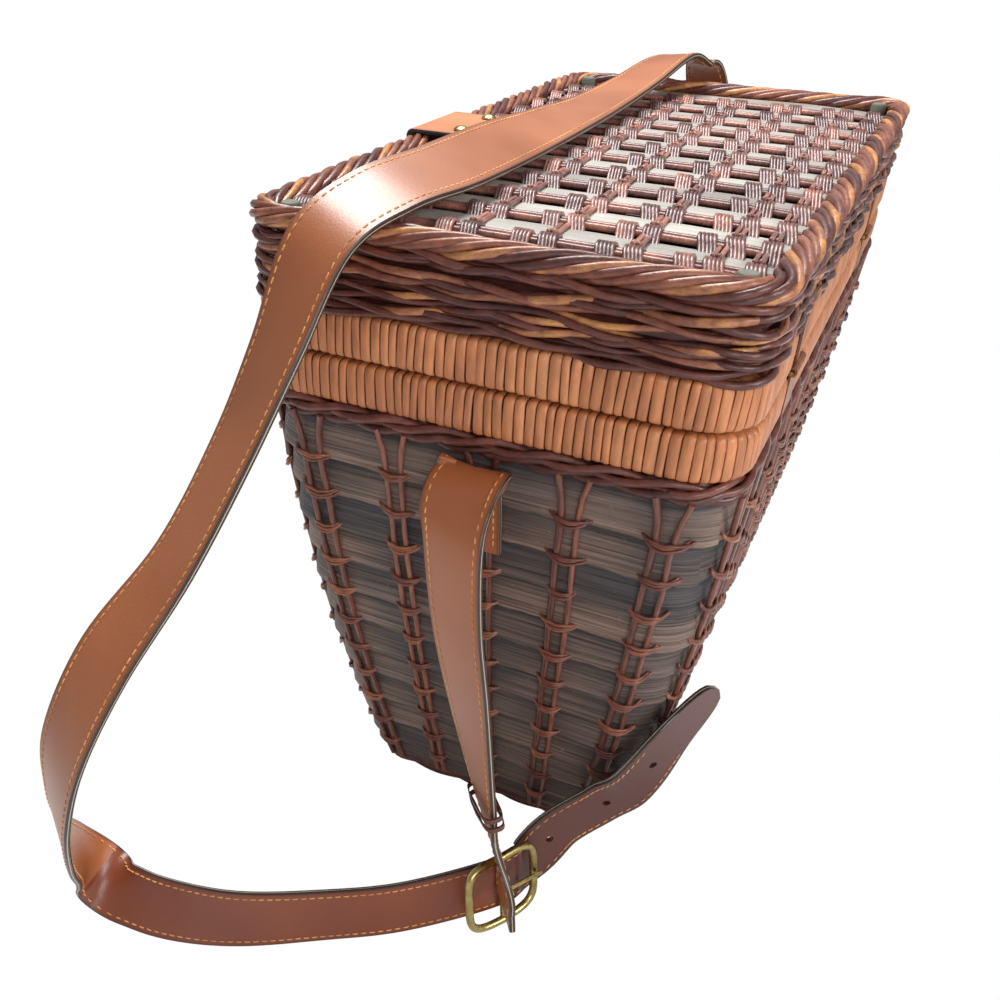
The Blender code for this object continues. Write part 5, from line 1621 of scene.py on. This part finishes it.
def domed_head(name, node, body, axis):
    """A rivet with a rolled edge and a domed head, in the place of a plain one."""
    low, high = (Vector(corner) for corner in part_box(node))
    normal = Vector(axis).normalized()
    size = high - low
    radius = max(size) / 2
    height = sum(abs(normal[k]) * size[k] for k in range(3)) / sum(abs(c) for c in normal)
    side = normal.orthogonal().normalized()
    other = normal.cross(side)
    base = (low + high) / 2 - normal * height / 2
    bm = bmesh.new()
    loops = [[bm.verts.new(base + normal * height * h_share
                           + (side * math.cos(angle) + other * math.sin(angle)) * radius * r_share)
              for angle in ring_angles(RIVET_SIDES)] for r_share, h_share in RIVET_RINGS]
    skin(bm, loops)
    settle(mesh_object(name, bm, "brass", 60.0), body, "brass", node)


class BASKET_OT_brass(bpy.types.Operator):
    """Rounds the rivet heads and shapes the big buckle, and gives the rest of the brass its finish"""
    bl_idname = "basket.brass"
    bl_label = "Brass"

    def execute(self, context):
        for tag, sign in (("near", -1), ("far", 1)):
            for number in (1, 2):
                domed_head(f"end_rivet_head_{tag}_{number}", f"end_rivet_{tag}_{number}", "root",
                           (0, sign, -0.2))
            domed_head(f"tab_rivet_head_{tag}", f"lifting_tab_rivet_{tag}", "lid", (0, 0, 1))
            domed_head(f"closure_tab_head_{tag}", f"closure_tab_rivet_{tag}", "lid", (-1, 0, 0))
            domed_head(f"closure_strap_head_{tag}", f"closure_strap_rivet_{tag}", "root", (-1, 0, 0))
            for name in (f"closure_buckle_{tag}", f"closure_prong_{tag}", f"hinge_pin_{tag}"):
                paint_node(name, "brass")
        paint_node("buckle_prong", "brass")
        centre, along, up, out = buckle_place()
        half_u, half_v = BUCKLE_LENGTH / 2 - BUCKLE_WIRE, BUCKLE_HEIGHT / 2
        path = []
        for angle in ring_angles(BUCKLE_POINTS):
            u = half_u * squared(math.cos(angle), 0.55)
            v = half_v * squared(math.sin(angle), 0.42)
            path.append(centre + along * u + up * v + out * (BUCKLE_BOW * (1 - abs(u / half_u))))
        bar = [centre - up * half_v * 0.97, centre, centre + up * half_v * 0.97]
        strands = [(path, BUCKLE_VISIBLE_WIRE, 0.5, True), (bar, BUCKLE_BAR_WIRE, 0.5, False)]
        settle(rods("buckle_frame_brass", strands, "brass", 12), "root", "brass", "buckle_frame")
        return {"FINISHED"}


def leather_copy(node, name, body, material):
    """A tab or strap with rounded edges in the place of a plain one whose width runs along y."""
    bm = bmesh.new()
    bm.from_mesh(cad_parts[node].data)
    bmesh.ops.remove_doubles(bm, verts=bm.verts, dist=0.00001)
    bmesh.ops.dissolve_limit(bm, angle_limit=math.radians(2), verts=bm.verts, edges=bm.edges)
    sharp = [e for e in bm.edges if len(e.link_faces) == 2 and e.calc_face_angle(0) > math.radians(35)]
    bmesh.ops.bevel(bm, geom=sharp, offset=TAB_EDGE_ROUND, segments=2, affect="EDGES", clamp_overlap=True)
    bmesh.ops.triangulate(bm, faces=bm.faces)
    obj = mesh_object(name, bm, material, 20.0)
    low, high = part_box(node)
    middle = (low[1] + high[1]) / 2
    half = (high[1] - low[1]) / 2
    across = [(vertex.co.y - middle) / half for vertex in obj.data.vertices]
    leather_attributes(obj.data, across, np.ones(len(across)))
    settle(obj, body, "leather", node)


class BASKET_OT_small_leather(bpy.types.Operator):
    """Rounds the lifting tab and the closures' leather and stitches the tab"""
    bl_idname = "basket.small_leather"
    bl_label = "Tabs and Closures"

    def execute(self, context):
        leather_copy("lifting_tab", "lifting_tab_leather", "lid", "pale_leather")
        for tag in ("near", "far"):
            leather_copy(f"closure_tab_{tag}", f"closure_tab_leather_{tag}", "lid", "leather")
            leather_copy(f"closure_strap_{tag}", f"closure_strap_leather_{tag}", "root", "leather")
        low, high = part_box("lifting_tab")
        rows = []
        for y in np.arange(low[1] + 0.004, high[1] - 0.003, sizes().stitch_pitch):
            for place, out in (((high[0] - TAB_SEAM_INSET, y, high[2]), (0, 0, 1)),
                               ((low[0], y, low[2] + TAB_SEAM_INSET), (-1, 0, 0))):
                rows.append((place, out, (0, 1, 0), TAB_STITCH_SIZE, THREAD_TINT))
        settle(copies("lifting_tab_stitches", stitch_shape(), rows, "thread"), "lid", "leather")
        return {"FINISHED"}


class BASKET_OT_hinges(bpy.types.Operator):
    """Gives the hinge loops at the back their cane finish"""
    bl_idname = "basket.hinges"
    bl_label = "Hinge Loops"

    def execute(self, context):
        for tag in ("near", "far"):
            for side in ("tub", "lid"):
                paint_node(f"{side}_hinge_loop_{tag}", "cane")
        return {"FINISHED"}


# Stage

CAMERA_PLACE = (0.1491, -0.5622, 0.4436)
CAMERA_RIGHT = (0.8879, 0.4599, 0.0127)
CAMERA_UP = (-0.2794, 0.5170, 0.8091)
CAMERA_LENS = 36.6
CAMERA_SHIFT = (0.0988, 0.1137)
CAMERA_SENSOR = 36.0
FLOOR_SIZE = 14.0
FLOOR_DROP = 0.0004
FLOOR_GREY = 0.8
WORLD_LIGHT = 0.32
# Name, place, target, size in metres and power in watts
LIGHTS = (
    ("Top light", (-0.25, 0.30, 1.20), (0, 0, 0.25), 0.6, 17.0),
    ("Right light", (1.1, -0.35, 0.8), (0, 0, 0.2), 0.6, 8.0),
    ("Front fill", (0.7, -1.4, 0.7), (0, 0, 0.15), 0.7, 6.5),
)


def area_light(name, place, target, size, power):
    light = bpy.data.lights.new(name, "AREA")
    light.shape = "DISK"
    light.size = size
    light.energy = power
    obj = add_object(name, light)
    obj.location = place
    obj.rotation_euler = (Vector(target) - Vector(place)).to_track_quat("-Z", "Y").to_euler()


def stage_material():
    """White to the camera, a plain pale floor to the light that bounces off it."""
    material, tree, shader = start_material("Pale floor", 0.9)
    shader.inputs["Base Color"].default_value = (FLOOR_GREY, FLOOR_GREY, FLOOR_GREY, 1)
    white = tree.nodes.new("ShaderNodeEmission")
    white.inputs["Color"].default_value = (1, 1, 1, 1)
    white.inputs["Strength"].default_value = 1.0
    path = tree.nodes.new("ShaderNodeLightPath")
    either = tree.nodes.new("ShaderNodeMixShader")
    link(tree, path.outputs["Is Camera Ray"], either.inputs[0])
    link(tree, shader.outputs[0], either.inputs[1])
    link(tree, white.outputs[0], either.inputs[2])
    link(tree, either.outputs[0], tree.nodes["Material Output"].inputs["Surface"])
    return material


class BASKET_OT_stage(bpy.types.Operator):
    """Sets the floor, the soft lights, the world and the camera"""
    bl_idname = "basket.stage"
    bl_label = "Stage"

    def execute(self, context):
        scene = context.scene
        bpy.ops.mesh.primitive_plane_add(size=FLOOR_SIZE, location=(0, 0, -FLOOR_DROP))
        floor = context.object
        floor.name = "floor"
        floor.data.materials.append(stage_material())
        world = bpy.data.worlds.new("Studio")
        scene.world = world
        world.use_nodes = True
        tree = world.node_tree
        background = tree.nodes["Background"]
        background.inputs["Color"].default_value = (1, 1, 1, 1)
        path = tree.nodes.new("ShaderNodeLightPath")
        # White to the camera, and the world's light to everything else
        seen = maths(tree, "MULTIPLY", path.outputs["Is Camera Ray"], 1 - WORLD_LIGHT)
        link(tree, maths(tree, "ADD", seen, WORLD_LIGHT), background.inputs["Strength"])
        for row in LIGHTS:
            area_light(*row)
        camera = add_object("Camera", bpy.data.cameras.new("Camera"))
        right, up = Vector(CAMERA_RIGHT), Vector(CAMERA_UP)
        turn = Matrix((right, up, right.cross(up))).transposed().to_4x4()
        camera.matrix_world = Matrix.Translation(CAMERA_PLACE) @ turn
        camera.data.lens = CAMERA_LENS
        camera.data.sensor_width = CAMERA_SENSOR
        camera.data.shift_x, camera.data.shift_y = CAMERA_SHIFT
        camera.data.clip_start = 0.01
        scene.camera = camera
        scene.view_settings.view_transform = "Standard"
        return {"FINISHED"}


class BASKET_PT_panel(bpy.types.Panel):
    """The basket's sizes, colours and pieces"""
    bl_idname = "BASKET_PT_panel"
    bl_label = "Picnic Basket"
    bl_space_type = "VIEW_3D"
    bl_region_type = "UI"
    bl_category = "Basket"

    def draw(self, context):
        for group in (context.scene.basket_sizes, context.scene.basket_colours):
            column = self.layout.column()
            for key in group.__annotations__:
                column.prop(group, key)
        for operator in OPERATORS:
            self.layout.operator(operator.bl_idname)


OPERATORS = (
    BASKET_OT_stage, BASKET_OT_wall_slats, BASKET_OT_stakes, BASKET_OT_borders, BASKET_OT_cane_rims,
    BASKET_OT_lid_wall, BASKET_OT_lid_weave, BASKET_OT_shoulder_strap, BASKET_OT_buckle_strap,
    BASKET_OT_brass, BASKET_OT_small_leather, BASKET_OT_hinges,
)
CLASSES = (BasketSizes, BasketColours) + OPERATORS + (BASKET_PT_panel,)


def register():
    for cls in CLASSES:
        bpy.utils.register_class(cls)
    bpy.types.Scene.basket_sizes = PointerProperty(type=BasketSizes)
    bpy.types.Scene.basket_colours = PointerProperty(type=BasketColours)


def unregister():
    del bpy.types.Scene.basket_sizes
    del bpy.types.Scene.basket_colours
    for cls in reversed(CLASSES):
        bpy.utils.unregister_class(cls)


def main():
    register()
    for operator in OPERATORS:
        module, name = operator.bl_idname.split(".")
        getattr(getattr(bpy.ops, module), name)()


if __name__ == "__main__":
    main()
